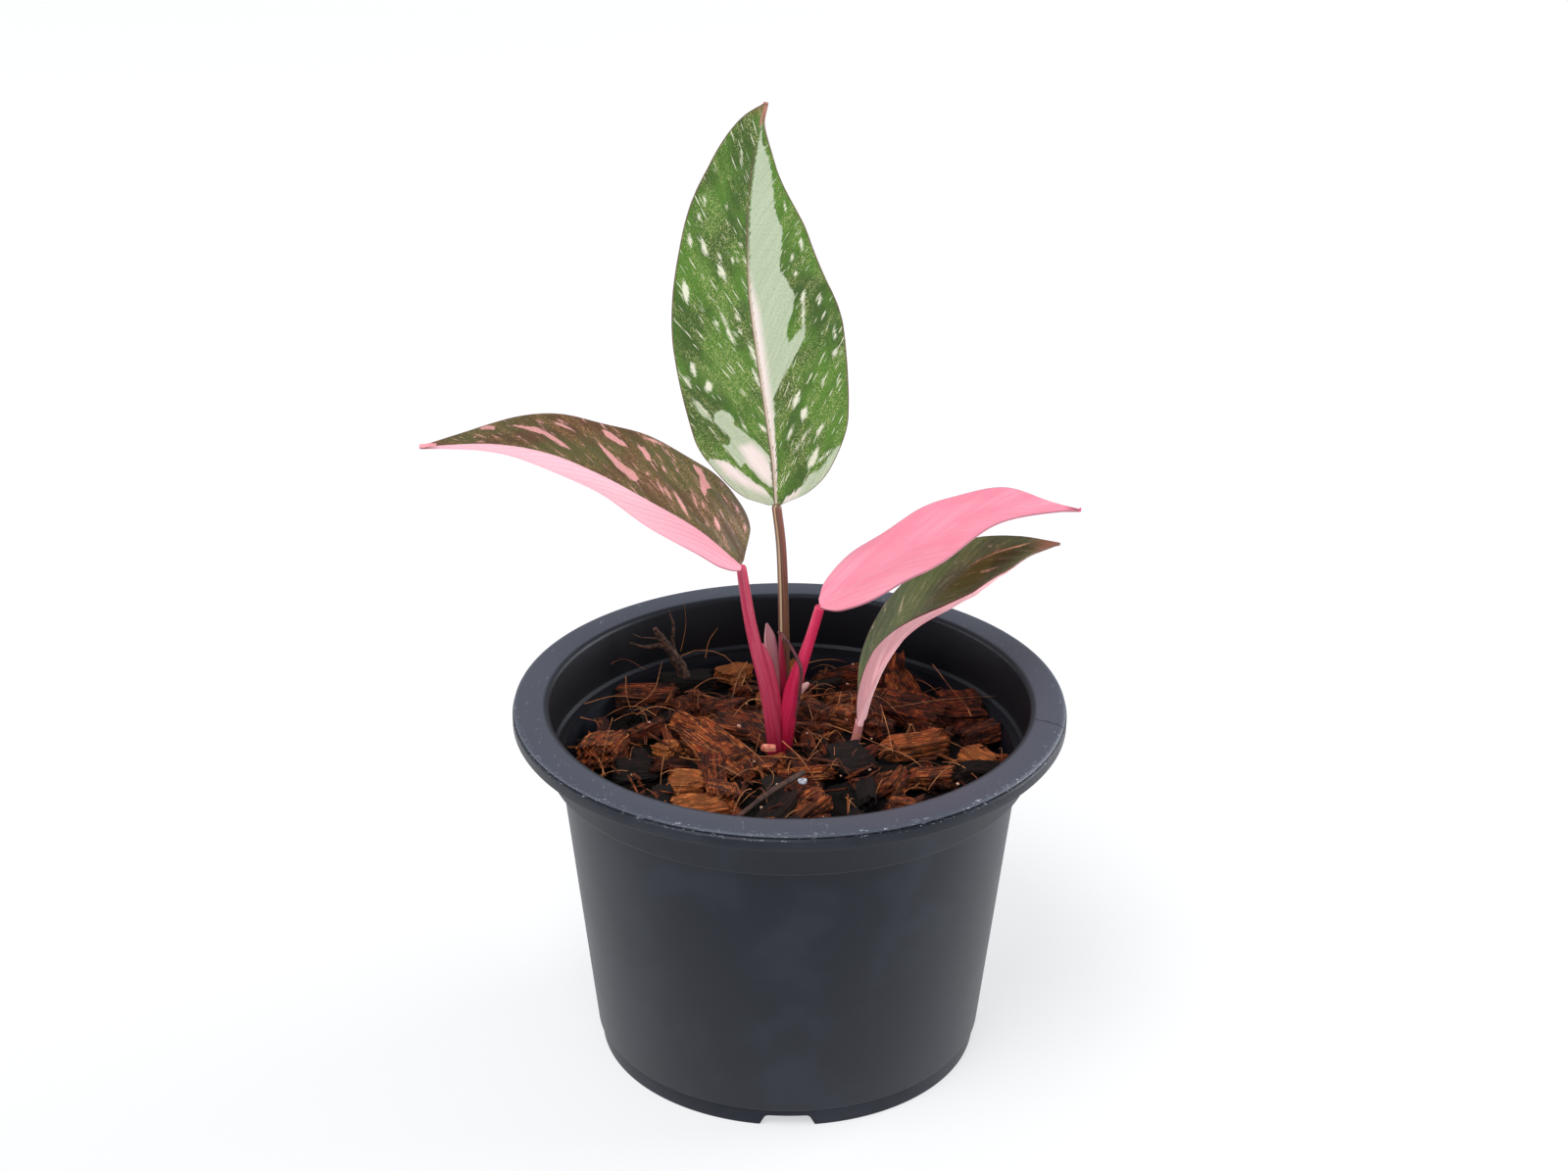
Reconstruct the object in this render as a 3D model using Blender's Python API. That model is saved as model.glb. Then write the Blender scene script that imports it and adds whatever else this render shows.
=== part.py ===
"""A young pink princess philodendron in a black nursery pot filled with husk chips.

Every size is in millimetres, measured from the pot's axis at table height: +X to the
right of the front view, +Y away from it, +Z up. The meshes are made in metres.
"""

import math
import random

import bmesh
import bpy
import numpy as np

MM = 0.001
GAP = 0.35  # clearance left between neighbouring pieces
POT_AXIS_X = 10.6  # shift that centres the whole plant and pot on the origin
POT_AXIS_Y = 0.0

# Pot: radii from the axis, heights from the table
RIM_RADIUS = 75.0
RIM_TOP = 102.8
RIM_INNER_RADIUS = 65.8
SKIRT_HEIGHT = 4.8
SHOULDER_RADIUS = 66.0
SHOULDER_HEIGHT = 85.6
WALL_TOP_RADIUS = 62.4
WALL_FOOT_RADIUS = 53.4
WALL = 1.4
FOOT_RADIUS = 52.3
FOOT_HEIGHT = 5.0
FOOT_RING = 2.6
FLOOR_TOP = 6.2
LEDGE_RISE = 1.2  # inner step of the shoulder above its outer step
POT_SIDES = 60
NOTCH_TOP_WIDTH = 11.8
NOTCH_FOOT_WIDTH = 15.4
NOTCH_HEIGHT = 3.2
NOTCH_COUNT = 4
DRAIN_RADIUS = 4.5
DRAIN_CIRCLE = 33.0
DRAIN_COUNT = 6

# Husk mix
MIX_MIDDLE = 85.5
MIX_EDGE = 82.0
MIX_SIDES = 32
MIX_RINGS = (11.0, 23.0, 35.0, 46.0, 57.0)
MIX_SHOULDER_DROP = 3.0  # the mix meets the wall this far below its edge height
MIX_FOOT_RISE = 3.0
MIX_FOOT_INSET = 2.5
CHIP_RINGS = ((11.0, 6), (21.0, 10), (31.5, 14), (42.0, 18), (53.0, 24))
CHIP_LENGTH = (8.0, 16.0)
CHIP_WIDTH = (5.0, 9.0)
CHIP_DEPTH = (3.5, 6.0)
CHIP_SEED = 11
CHIP_CORNER_SHARE = (0.82, 1.12)
CHIP_CORNERS = ((-1, -1, -1), (1, -1, -1), (1, 1, -1), (-1, 1, -1),
                (-1, -1, 1), (1, -1, 1), (1, 1, 1), (-1, 1, 1))
CHIP_SIDES = ((0, 3, 2, 1), (4, 5, 6, 7), (0, 1, 5, 4), (1, 2, 6, 5), (2, 3, 7, 6), (3, 0, 4, 7))
PLACED_CHIP_ROOM = 7.5  # a seeded chip this close to a placed one is left out
# Chips that stand out: x, y, height above the mix, length, width, depth, then yaw, pitch and roll in degrees
PLACED_CHIPS = (
    (-18.8, -1.5, 2.2, 24.0, 11.0, 6.5, -38.0, -16.0, 12.0),
    (-13.5, 14.0, 1.5, 13.0, 9.5, 5.0, -20.0, -6.0, 14.0),
    (-27.5, -14.5, 1.2, 10.0, 7.5, 5.0, -8.0, 4.0, 16.0),
    (-24.0, -31.5, 1.5, 15.0, 9.0, 6.0, 6.0, 6.0, 14.0),
    (35.0, 4.5, 2.0, 17.0, 6.5, 5.0, 8.0, 4.0, 10.0),
    (-42.0, -7.5, 1.2, 11.0, 9.0, 5.0, 12.0, 0.0, 16.0),
    (16.4, -3.5, 1.0, 12.0, 10.0, 4.5, 30.0, -8.0, 18.0),
    (-50.5, 1.0, 2.6, 14.0, 11.0, 6.5, 72.0, -10.0, -12.0),
    (-41.0, 36.0, 2.4, 16.0, 7.0, 6.0, 2.0, 0.0, 14.0),
    (34.0, 26.0, 2.0, 21.0, 8.5, 5.5, -24.0, -4.0, 14.0),
    (49.0, 27.5, 2.6, 12.5, 11.0, 5.5, 10.0, 2.0, 18.0),
    (29.0, 45.0, 4.0, 13.0, 7.0, 5.0, 80.0, 68.0, 0.0),
)

# Leaf blades
BLADE_DEPTH = 0.7
RIB_DEPTH = 0.9
STATIONS = (0.0, 0.03, 0.10, 0.22, 0.40, 0.60, 0.78, 0.91, 1.0)
TIP_HALF_WIDTH = 0.35
BLADE_ROWS = 24
HALF_COLUMNS = 4

MATERIALS = {
    "pot_black": ((0.045, 0.048, 0.055), 0.45),
    "husk": ((0.20, 0.065, 0.022), 0.9),
    "dark_bark": ((0.035, 0.02, 0.015), 0.85),
    "leaf_green": ((0.09, 0.19, 0.045), 0.45),
    "leaf_olive": ((0.11, 0.085, 0.04), 0.45),
    "leaf_pink": ((0.93, 0.30, 0.40), 0.5),
    "stalk_brown": ((0.17, 0.06, 0.035), 0.45),
    "stalk_magenta": ((0.42, 0.035, 0.10), 0.4),
    "stalk_crimson": ((0.55, 0.01, 0.075), 0.4),
    "stalk_pale": ((0.82, 0.45, 0.45), 0.5),
    "spear_mauve": ((0.32, 0.10, 0.14), 0.5),
    "dry_brown": ((0.06, 0.02, 0.025), 0.7),
}


def clear_scene():
    """Empty the file of its startup objects."""
    for obj in list(bpy.data.objects):
        bpy.data.objects.remove(obj)


def material(name):
    """The named Principled material, made once."""
    found = bpy.data.materials.get(name)
    if found:
        return found
    colour, roughness = MATERIALS[name]
    made = bpy.data.materials.new(name)
    made.use_nodes = True
    shader = made.node_tree.nodes["Principled BSDF"]
    shader.inputs["Base Color"].default_value = (*colour, 1.0)
    shader.inputs["Roughness"].default_value = roughness
    shader.inputs["Metallic"].default_value = 0.0
    return made


def new_object(name, points, faces, finish, sharp_angle=40.0):
    """A smooth shaded mesh object from points in millimetres."""
    mesh = bpy.data.meshes.new(name)
    mesh.from_pydata([tuple(float(v) * MM for v in p) for p in points], [], faces)
    mesh.validate()
    mesh.shade_smooth()
    mesh.set_sharp_from_angle(angle=math.radians(sharp_angle))
    obj = bpy.data.objects.new(name, mesh)
    obj.data.materials.append(material(finish))
    bpy.context.scene.collection.objects.link(obj)
    return obj


def remove(objects):
    """Delete helper objects once they have been used."""
    for obj in objects:
        bpy.data.objects.remove(obj)


def apply_modifiers(obj):
    """Bake an object's modifiers into its mesh."""
    bpy.context.view_layer.update()
    graph = bpy.context.evaluated_depsgraph_get()
    baked = bpy.data.meshes.new_from_object(obj.evaluated_get(graph))
    obj.modifiers.clear()
    obj.data = baked


def boolean(obj, others, operation, solver="MANIFOLD"):
    """Join, cut or trim obj by all the others at once, and delete them."""
    group = bpy.data.collections.new(obj.name + "_tools")
    bpy.context.scene.collection.children.link(group)
    for other in others:
        group.objects.link(other)
    step = obj.modifiers.new(operation.lower(), "BOOLEAN")
    step.operation = operation
    step.solver = solver
    step.operand_type = "COLLECTION"
    step.collection = group
    apply_modifiers(obj)
    remove(others)
    bpy.data.collections.remove(group)


def keep_largest_island(obj):
    """Drop loose scraps and the walls of sealed pockets, so that one body is left."""
    shape = bmesh.new()
    shape.from_mesh(obj.data)
    unseen = set(shape.verts)
    islands = []
    while unseen:
        stack = [unseen.pop()]
        island = list(stack)
        while stack:
            for edge in stack.pop().link_edges:
                for vert in edge.verts:
                    if vert in unseen:
                        unseen.remove(vert)
                        stack.append(vert)
                        island.append(vert)
        islands.append(island)
    islands.sort(key=len)
    scraps = [vert for island in islands[:-1] for vert in island]
    bmesh.ops.delete(shape, geom=scraps, context="VERTS")
    shape.to_mesh(obj.data)
    shape.free()


def catmull(points, t):
    """Points at parameters t (0 to 1) of a smooth curve through evenly spaced control points."""
    points = np.asarray(points, float)
    spans = len(points) - 1
    ends = np.vstack([2 * points[0] - points[1], points, 2 * points[-1] - points[-2]])
    place = np.clip(np.asarray(t, float), 0.0, 1.0) * spans
    index = np.minimum(place.astype(int), spans - 1)
    u = (place - index)[:, None]
    a, b, c, d = ends[index], ends[index + 1], ends[index + 2], ends[index + 3]
    return 0.5 * (2 * b + (c - a) * u + (2 * a - 5 * b + 4 * c - d) * u**2
                  + (3 * b - 3 * c + d - a) * u**3)


def monotone(stations, values, t):
    """Values at t of a smooth curve that never overshoots its control values."""
    xs, ys = np.asarray(stations, float), np.asarray(values, float)
    step = np.diff(xs)
    slope = np.diff(ys) / step
    tangent = np.zeros_like(ys)
    tangent[0], tangent[-1] = slope[0], slope[-1]
    for i in range(1, len(xs) - 1):
        if slope[i - 1] * slope[i] > 0:
            before = (2 * step[i] + step[i - 1]) / slope[i - 1]
            after = (step[i] + 2 * step[i - 1]) / slope[i]
            tangent[i] = 3 * (step[i - 1] + step[i]) / (before + after)
    k = np.clip(np.searchsorted(xs, t, side="right") - 1, 0, len(xs) - 2)
    u = (t - xs[k]) / step[k]
    return ((1 + 2 * u) * (1 - u) ** 2 * ys[k] + u * (1 - u) ** 2 * step[k] * tangent[k]
            + u * u * (3 - 2 * u) * ys[k + 1] + u * u * (u - 1) * step[k] * tangent[k + 1])


def unit(rows):
    """Rows scaled to length one."""
    return rows / np.linalg.norm(rows, axis=1)[:, None]


def tangents(points, t):
    """Unit directions along a catmull curve."""
    reach = 1e-3
    return unit(catmull(points, np.minimum(t + reach, 1.0)) - catmull(points, np.maximum(t - reach, 0.0)))


# Turned and lofted shapes


def turned(name, profile, sides, finish, axis=(0.0, 0.0)):
    """A solid of revolution from a closed (radius, height) outline that runs down its outer side."""
    shape = bmesh.new()
    ring = [shape.verts.new(((axis[0] + r) * MM, axis[1] * MM, z * MM)) for r, z in profile]
    edges = [shape.edges.new((ring[i], ring[i + 1])) for i in range(len(ring) - 1)]
    if profile[0][0] > 0:
        edges.append(shape.edges.new((ring[-1], ring[0])))
    centre = (axis[0] * MM, axis[1] * MM, 0.0)
    bmesh.ops.spin(shape, geom=ring + edges, cent=centre, axis=(0, 0, 1),
                   angle=2 * math.pi, steps=sides, use_merge=True)
    bmesh.ops.remove_doubles(shape, verts=shape.verts, dist=1e-6)
    bmesh.ops.recalc_face_normals(shape, faces=shape.faces)
    mesh = bpy.data.meshes.new(name)
    shape.to_mesh(mesh)
    shape.free()
    mesh.shade_smooth()
    mesh.set_sharp_from_angle(angle=math.radians(40))
    obj = bpy.data.objects.new(name, mesh)
    obj.data.materials.append(material(finish))
    bpy.context.scene.collection.objects.link(obj)
    return obj


def stalk(name, path, radii, finish, grow=0.0, sides=12, rows=14, depths=None):
    """A round or flattened tube along a path, facing the viewer. grow thickens it for a clearance cut."""
    t = np.linspace(0.0, 1.0, rows)
    centre, along = catmull(path, t), tangents(path, t)
    centre[0] -= along[0] * grow
    centre[-1] += along[-1] * grow
    across = unit(np.cross(along, (0.0, 1.0, 0.0)))
    toward = np.cross(across, along)
    stops = np.linspace(0.0, 1.0, len(radii))
    wide = monotone(stops, radii, t) + grow
    deep = wide if depths is None else monotone(stops, depths, t) + grow
    points, faces = [], []
    for row in range(rows):
        for side in range(sides):
            turn = 2 * math.pi * side / sides
            points.append(centre[row] + across[row] * math.cos(turn) * wide[row]
                          + toward[row] * math.sin(turn) * deep[row])
    for row in range(rows - 1):
        for side in range(sides):
            a, b = row * sides + side, row * sides + (side + 1) % sides
            faces.append((a, b, b + sides, a + sides))
    faces.append(tuple(reversed(range(sides))))
    faces.append(tuple(range((rows - 1) * sides, rows * sides)))
    obj = new_object(name, points, faces, finish)
    face_out(obj)
    return obj


def face_out(obj):
    """Turn every face of a closed mesh outwards."""
    shape = bmesh.new()
    shape.from_mesh(obj.data)
    bmesh.ops.recalc_face_normals(shape, faces=shape.faces)
    shape.to_mesh(obj.data)
    shape.free()


def blade_rows():
    """Row parameters along a blade, closer together at its base and tip."""
    even = np.linspace(0.0, 1.0, BLADE_ROWS)
    return 0.55 * even + 0.45 * (0.5 - 0.5 * np.cos(np.pi * even))


def half_section(width, first_slope, last_slope):
    """Offsets (across, up) over one half of a blade, whose slope turns evenly from rib to margin."""
    s = np.linspace(0.0, 1.0, HALF_COLUMNS + 1)
    slope = np.radians(first_slope + (last_slope - first_slope) * s)
    across = np.concatenate([[0.0], np.cumsum((np.cos(slope[1:]) + np.cos(slope[:-1])) / 2)])
    up = np.concatenate([[0.0], np.cumsum((np.sin(slope[1:]) + np.sin(slope[:-1])) / 2)])
    return width * across / HALF_COLUMNS, width * up / HALF_COLUMNS


def blade_surface(leaf):
    """A grid of points on the blade's middle surface, from the left margin to the right."""
    t = blade_rows()
    spine, along = catmull(leaf["spine"], t), tangents(leaf["spine"], t)
    side = unit(np.cross(along, np.asarray(leaf["faces"], float)))
    up = np.cross(side, along)
    left = monotone(STATIONS, (*leaf["left"], TIP_HALF_WIDTH), t)
    right = monotone(STATIONS, (*leaf["right"], TIP_HALF_WIDTH), t)
    grid = np.zeros((len(t), 2 * HALF_COLUMNS + 1, 3))
    for row, place in enumerate(t):
        halves = ((-1, left[row], leaf["left_slopes"]), (1, right[row], leaf["right_slopes"]))
        for sign, width, slopes in halves:
            stops = np.linspace(0.0, 1.0, len(slopes))
            first = np.interp(place, stops, [s[0] for s in slopes])
            last = np.interp(place, stops, [s[1] for s in slopes])
            across, lift = half_section(width, first, last)
            wave = leaf["wave"] * math.sin(2 * math.pi * leaf["waves"] * place + sign)
            for column in range(HALF_COLUMNS + 1):
                share = column / HALF_COLUMNS
                rise = lift[column] + wave * share**2 * math.sin(math.pi * place)
                grid[row, HALF_COLUMNS + sign * column] = (
                    spine[row] + side[row] * sign * across[column] + up[row] * rise)
    return grid


def grid_normals(grid):
    """Unit normals of a grid of points."""
    rows = np.gradient(grid, axis=0)
    columns = np.gradient(grid, axis=1)
    normal = np.cross(columns, rows)
    return normal / np.linalg.norm(normal, axis=2)[..., None]


def blade(name, leaf, grow=0.0):
    """A thin closed blade with a raised rib below, its two faces split into like triangles."""
    grid = blade_surface(leaf)
    normal = grid_normals(grid)
    rows, columns = grid.shape[:2]
    rib = RIB_DEPTH * (np.arange(columns) == HALF_COLUMNS)
    fade = np.linspace(1.0, 0.25, rows)[:, None]
    depth_above = BLADE_DEPTH / 2 + grow
    depth_below = BLADE_DEPTH / 2 + grow + rib[None, :] * fade
    top = (grid + normal * depth_above).reshape(-1, 3)
    bottom = (grid - normal * depth_below[..., None]).reshape(-1, 3)
    count = rows * columns
    faces = []
    for r in range(rows - 1):
        for c in range(columns - 1):
            a, b = r * columns + c, r * columns + c + 1
            d, e = a + columns, b + columns
            split = ((a, b, e), (a, e, d)) if c >= HALF_COLUMNS else ((a, b, d), (b, e, d))
            for x, y, z in split:
                faces.append((x, y, z))
                faces.append((x + count, z + count, y + count))
    border = ([r * columns for r in range(rows)]
              + [(rows - 1) * columns + c for c in range(1, columns)]
              + [r * columns + columns - 1 for r in range(rows - 2, -1, -1)]
              + [c for c in range(columns - 2, 0, -1)])
    for i, a in enumerate(border):
        b = border[(i + 1) % len(border)]
        faces.append((a, b, b + count))
        faces.append((a, b + count, a + count))
    obj = new_object(name, np.vstack([top, bottom]), faces, leaf["finish"])
    face_out(obj)
    return obj


# The plant's own shapes

LEAF_A = {
    "finish": "leaf_green",
    "spine": ((-3.9, 3.7, 158.6), (-4.8, 6.0, 170.3), (-6.6, 8.4, 182.7), (-9.0, 11.5, 198.6),
              (-11.1, 14.7, 215.0), (-11.4, 17.9, 231.9), (-10.4, 20.4, 244.4), (-8.5, 22.7, 256.2),
              (-7.0, 23.9, 262.6)),
    "faces": (0.0, -0.98, 0.19),
    "left": (2.0, 8.6, 14.6, 19.9, 21.7, 17.3, 10.7, 4.6),
    "right": (1.4, 8.4, 15.4, 21.4, 23.3, 15.8, 5.6, 0.6),
    "left_slopes": ((6, 4), (4, 2)),
    "right_slopes": ((6, 4), (4, 2)),
    "wave": 0.7,
    "waves": 3.5,
}
LEAF_B = {
    "finish": "leaf_olive",
    "spine": ((-13.2, -3.0, 143.9), (-24.6, -1.8, 153.6), (-38.2, -0.5, 161.6), (-50.8, 0.8, 168.3),
              (-64.2, 2.1, 173.5), (-79.1, 3.6, 175.3), (-97.9, 5.5, 173.6)),
    "faces": (0.0, 0.0, 1.0),
    "left": (4.5, 9.3, 16.0, 19.8, 16.5, 12.5, 8.5, 3.6),
    "right": (2.1, 13.4, 18.7, 22.8, 22.3, 18.1, 12.5, 5.0),
    "left_slopes": ((7, 7), (7, 7)),
    "right_slopes": ((18, 20), (14, 16)),
    "wave": 0.4,
    "waves": 3.0,
}
LEAF_C = {
    "finish": "leaf_pink",
    "spine": ((8.0, -2.0, 131.5), (19.6, -1.1, 139.8), (32.5, 0.0, 147.5), (46.4, 1.1, 154.4),
              (60.3, 2.2, 158.4), (76.8, 3.5, 157.5)),
    "faces": (0.0, 0.0, 1.0),
    "left": (4.5, 12.2, 17.0, 19.8, 21.2, 20.5, 14.2, 4.6),
    "right": (1.2, 6.8, 15.5, 20.6, 23.0, 14.0, 7.5, 3.0),
    "left_slopes": ((-2, -4), (0, -2)),
    "right_slopes": ((9, 7), (6, 6)),
    "wave": 0.6,
    "waves": 3.0,
}
LEAF_D = {
    "finish": "leaf_green",
    "spine": ((19.3, 10.0, 89.8), (21.6, 10.0, 99.3), (25.7, 10.0, 109.5), (32.4, 10.0, 120.0),
              (40.7, 10.0, 130.0), (52.3, 10.0, 140.0), (61.4, 10.0, 143.9), (72.4, 10.0, 144.8)),
    "faces": (-0.35, -0.1, 1.0),
    "left": (1.0, 1.8, 3.8, 10.5, 18.5, 17.5, 9.0, 3.5),
    "right": (0.9, 1.6, 3.4, 7.0, 12.5, 17.0, 14.5, 5.5),
    "left_slopes": ((20, 30), (6, 8), (0, 0), (-4, -4)),
    "right_slopes": ((50, 70), (10, 80), (-35, 50), (0, 5)),
    "wave": 0.3,
    "waves": 2.5,
}

PETIOLE_A = {
    "path": ((-2.6, 4.4, 78.0), (-2.3, 5.0, 92.0), (-1.6, 5.4, 108.0), (-1.7, 5.4, 122.0),
             (-2.0, 4.8, 134.0), (-2.6, 4.2, 147.0), (-3.9, 3.7, 158.6)),
    "radii": (1.9, 1.75, 1.6, 1.5, 1.4, 1.35, 1.3),
}
PETIOLE_B = {
    "path": ((-3.5, -0.8, 80.0), (-4.2, -1.4, 93.0), (-6.2, -2.2, 106.0), (-8.8, -2.8, 118.0),
             (-11.0, -3.0, 129.0), (-13.2, -3.0, 143.9)),
    "radii": (1.9, 2.3, 1.9, 1.75, 1.6, 1.35),
}
SHEATH_B = {
    "path": ((-3.3, 0.0, 84.0), (-3.8, 0.0, 94.0), (-4.6, -0.8, 104.0), (-6.2, -1.4, 113.0),
             (-7.7, -2.2, 120.5)),
    "radii": (1.6, 2.2, 2.1, 1.9, 0.6),
    "depths": (1.8, 2.0, 1.8, 1.3, 0.5),
}
PETIOLE_C = {
    "path": ((-1.6, 0.2, 80.0), (-0.6, -0.6, 93.0), (1.2, -1.3, 106.0), (3.4, -1.8, 115.0),
             (5.8, -2.0, 123.5), (8.0, -2.0, 131.5)),
    "radii": (1.6, 1.9, 1.8, 1.7, 1.45, 1.35),
}
SHEATH_C = {
    "path": ((-2.0, 0.6, 84.0), (-1.4, 0.0, 94.0), (-0.2, -0.3, 104.0), (1.2, -0.9, 110.0),
             (2.2, -1.3, 115.5)),
    "radii": (1.4, 1.7, 1.7, 1.4, 0.5),
    "depths": (1.6, 1.8, 1.6, 1.2, 0.5),
}
PETIOLE_D = {
    "path": ((10.0, 6.0, 70.0), (15.5, 9.0, 78.0), (18.2, 10.0, 84.6), (19.25, 10.0, 89.3)),
    "radii": (1.4, 1.4, 1.35, 1.2),
}
SPEAR = {
    "path": ((-2.9, 2.6, 84.0), (-3.3, 2.6, 97.0), (-4.0, 2.4, 106.0), (-4.9, 2.2, 114.0),
             (-5.4, 2.0, 120.0), (-6.3, 2.0, 124.6)),
    "radii": (0.9, 1.3, 1.8, 1.9, 1.5, 0.25),
}
INNER_SHEATH = {
    "path": ((-1.6, 2.6, 88.0), (-2.0, 2.6, 98.0), (-2.0, 2.5, 106.0), (-2.2, 2.3, 114.0),
             (-2.7, 2.0, 121.5)),
    "radii": (1.0, 1.2, 1.3, 0.9, 0.2),
}
TENDRIL = {
    "path": ((-3.3, 0.9, 122.4), (-2.0, -0.6, 122.2), (0.6, -3.0, 119.2), (2.2, -4.3, 116.4),
             (3.0, -4.7, 113.6), (2.8, -4.4, 109.0), (2.4, -3.6, 104.0), (1.6, -3.1, 98.5)),
    "radii": (0.35, 0.42, 0.45, 0.5, 0.5, 0.5, 0.45, 0.4),
}
STEM_BASE = {
    "path": ((-1.5, 1.5, 58.0), (-1.8, 1.5, 66.0), (-2.0, 1.5, 74.0), (-2.2, 1.5, 79.5)),
    "radii": (2.6, 3.4, 3.8, 3.6),
}
TWIG_LIMBS = (
    {"path": ((-25.0, 42.0, 74.0), (-29.4, 42.0, 86.5), (-32.3, 42.0, 93.5), (-35.6, 42.0, 99.0),
              (-38.4, 42.0, 103.5)),
     "radii": (1.6, 1.7, 1.5, 1.2, 0.45)},
    {"path": ((-33.8, 42.0, 96.5), (-36.8, 41.4, 98.1), (-40.8, 41.2, 97.7), (-45.6, 41.6, 98.9)),
     "radii": (0.9, 0.9, 0.7, 0.35)},
    {"path": ((-32.0, 42.0, 93.5), (-33.2, 42.8, 98.5), (-33.0, 43.0, 104.0), (-34.4, 43.0, 108.5)),
     "radii": (0.8, 0.7, 0.5, 0.3)},
)


def loft(name, sizes, finish, grow=0.0, sides=12, rows=14):
    """The stalk described by a table of path, radii and, where it is flattened, depths."""
    return stalk(name, sizes["path"], sizes["radii"], finish, grow, sides, rows, sizes.get("depths"))


def wall_radius(z):
    """Outer radius of the pot's wall at a height."""
    share = (z - FOOT_HEIGHT) / (SHOULDER_HEIGHT - FOOT_HEIGHT)
    return WALL_FOOT_RADIUS + (WALL_TOP_RADIUS - WALL_FOOT_RADIUS) * share


def pot_profile():
    """Half outline of the pot, down its outer side and back up inside."""
    skirt_foot = RIM_TOP - SKIRT_HEIGHT
    neck = SHOULDER_RADIUS + 0.6
    under_rim = RIM_TOP - 1.7
    inner_shoulder = SHOULDER_RADIUS - WALL
    ledge = SHOULDER_HEIGHT + LEDGE_RISE
    return (
        (RIM_INNER_RADIUS - 0.5, RIM_TOP - 0.7),
        (RIM_INNER_RADIUS + 0.2, RIM_TOP - 0.1),
        (RIM_INNER_RADIUS + 1.0, RIM_TOP),
        (RIM_RADIUS - 1.6, RIM_TOP),
        (RIM_RADIUS - 0.7, RIM_TOP - 0.3),
        (RIM_RADIUS - 0.15, RIM_TOP - 0.9),
        (RIM_RADIUS, RIM_TOP - 2.0),
        (RIM_RADIUS, skirt_foot + 0.2),
        (RIM_RADIUS - 0.3, skirt_foot),
        (RIM_RADIUS - 1.5, skirt_foot),
        (RIM_RADIUS - 1.7, under_rim - 0.8),
        (RIM_RADIUS - 2.6, under_rim),
        (neck + 0.6, under_rim),
        (neck, under_rim - 0.8),
        (SHOULDER_RADIUS, SHOULDER_HEIGHT + 0.8),
        (SHOULDER_RADIUS - 0.8, SHOULDER_HEIGHT),
        (WALL_TOP_RADIUS + 0.7, SHOULDER_HEIGHT - 0.5),
        (WALL_TOP_RADIUS, SHOULDER_HEIGHT - 1.8),
        (WALL_FOOT_RADIUS + 0.1, FOOT_HEIGHT + 0.9),
        (WALL_FOOT_RADIUS - 0.3, FOOT_HEIGHT + 0.3),
        (FOOT_RADIUS, FOOT_HEIGHT),
        (FOOT_RADIUS, 0.6),
        (FOOT_RADIUS - 0.5, 0.0),
        (FOOT_RADIUS - FOOT_RING, 0.0),
        (FOOT_RADIUS - FOOT_RING - 0.3, FLOOR_TOP - WALL - 0.4),
        (FOOT_RADIUS - FOOT_RING - 1.0, FLOOR_TOP - WALL),
        (0.0, FLOOR_TOP - WALL),
        (0.0, FLOOR_TOP),
        (WALL_FOOT_RADIUS - WALL - 2.0, FLOOR_TOP),
        (wall_radius(FLOOR_TOP + 2.0) - WALL, FLOOR_TOP + 2.0),
        (WALL_TOP_RADIUS - WALL, SHOULDER_HEIGHT - 1.0),
        (WALL_TOP_RADIUS - WALL + 0.5, ledge),
        (inner_shoulder - 0.8, ledge + 0.2),
        (inner_shoulder, ledge + 1.0),
    )


def notch_cutter(turn):
    """A block, wider at its foot, that cuts one drainage notch in the foot ring."""
    inner, outer = FOOT_RADIUS - FOOT_RING - 1.8, FOOT_RADIUS + 4.0
    below = -3.0
    flare = (NOTCH_FOOT_WIDTH - NOTCH_TOP_WIDTH) / (2 * NOTCH_HEIGHT)
    low = NOTCH_FOOT_WIDTH / 2 - flare * below
    outline = [(-low, below), (low, below), (NOTCH_TOP_WIDTH / 2 + 0.6, NOTCH_HEIGHT - 0.9),
               (NOTCH_TOP_WIDTH / 2 - 0.6, NOTCH_HEIGHT), (-NOTCH_TOP_WIDTH / 2 + 0.6, NOTCH_HEIGHT),
               (-NOTCH_TOP_WIDTH / 2 - 0.6, NOTCH_HEIGHT - 0.9)]
    sine, cosine = math.sin(turn), math.cos(turn)
    points = [(x * cosine - y * sine, x * sine + y * cosine, z)
              for y in (-outer, -inner) for x, z in outline]
    count = len(outline)
    faces = [tuple(range(count)), tuple(reversed(range(count, 2 * count)))]
    faces += [(i, i + count, (i + 1) % count + count, (i + 1) % count) for i in range(count)]
    cutter = new_object("notch_cutter", points, faces, "pot_black")
    face_out(cutter)
    return cutter


def build_pot():
    """The moulded pot: rolled rim, stepped shoulder, tapered wall, floor with drain holes and notched foot."""
    pot = turned("pot", pot_profile(), POT_SIDES, "pot_black")
    cutters = [notch_cutter(2 * math.pi * i / NOTCH_COUNT) for i in range(NOTCH_COUNT)]
    for i in range(DRAIN_COUNT):
        turn = 2 * math.pi * (i + 0.5) / DRAIN_COUNT
        place = (DRAIN_CIRCLE * math.cos(turn), DRAIN_CIRCLE * math.sin(turn))
        outline = ((0.0, FLOOR_TOP + 3.0), (DRAIN_RADIUS, FLOOR_TOP + 3.0), (DRAIN_RADIUS, 1.0), (0.0, 1.0))
        cutters.append(turned("drain_cutter", outline, 16, "pot_black", place))
    boolean(pot, cutters, "DIFFERENCE")
    keep_largest_island(pot)
    return pot


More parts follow.
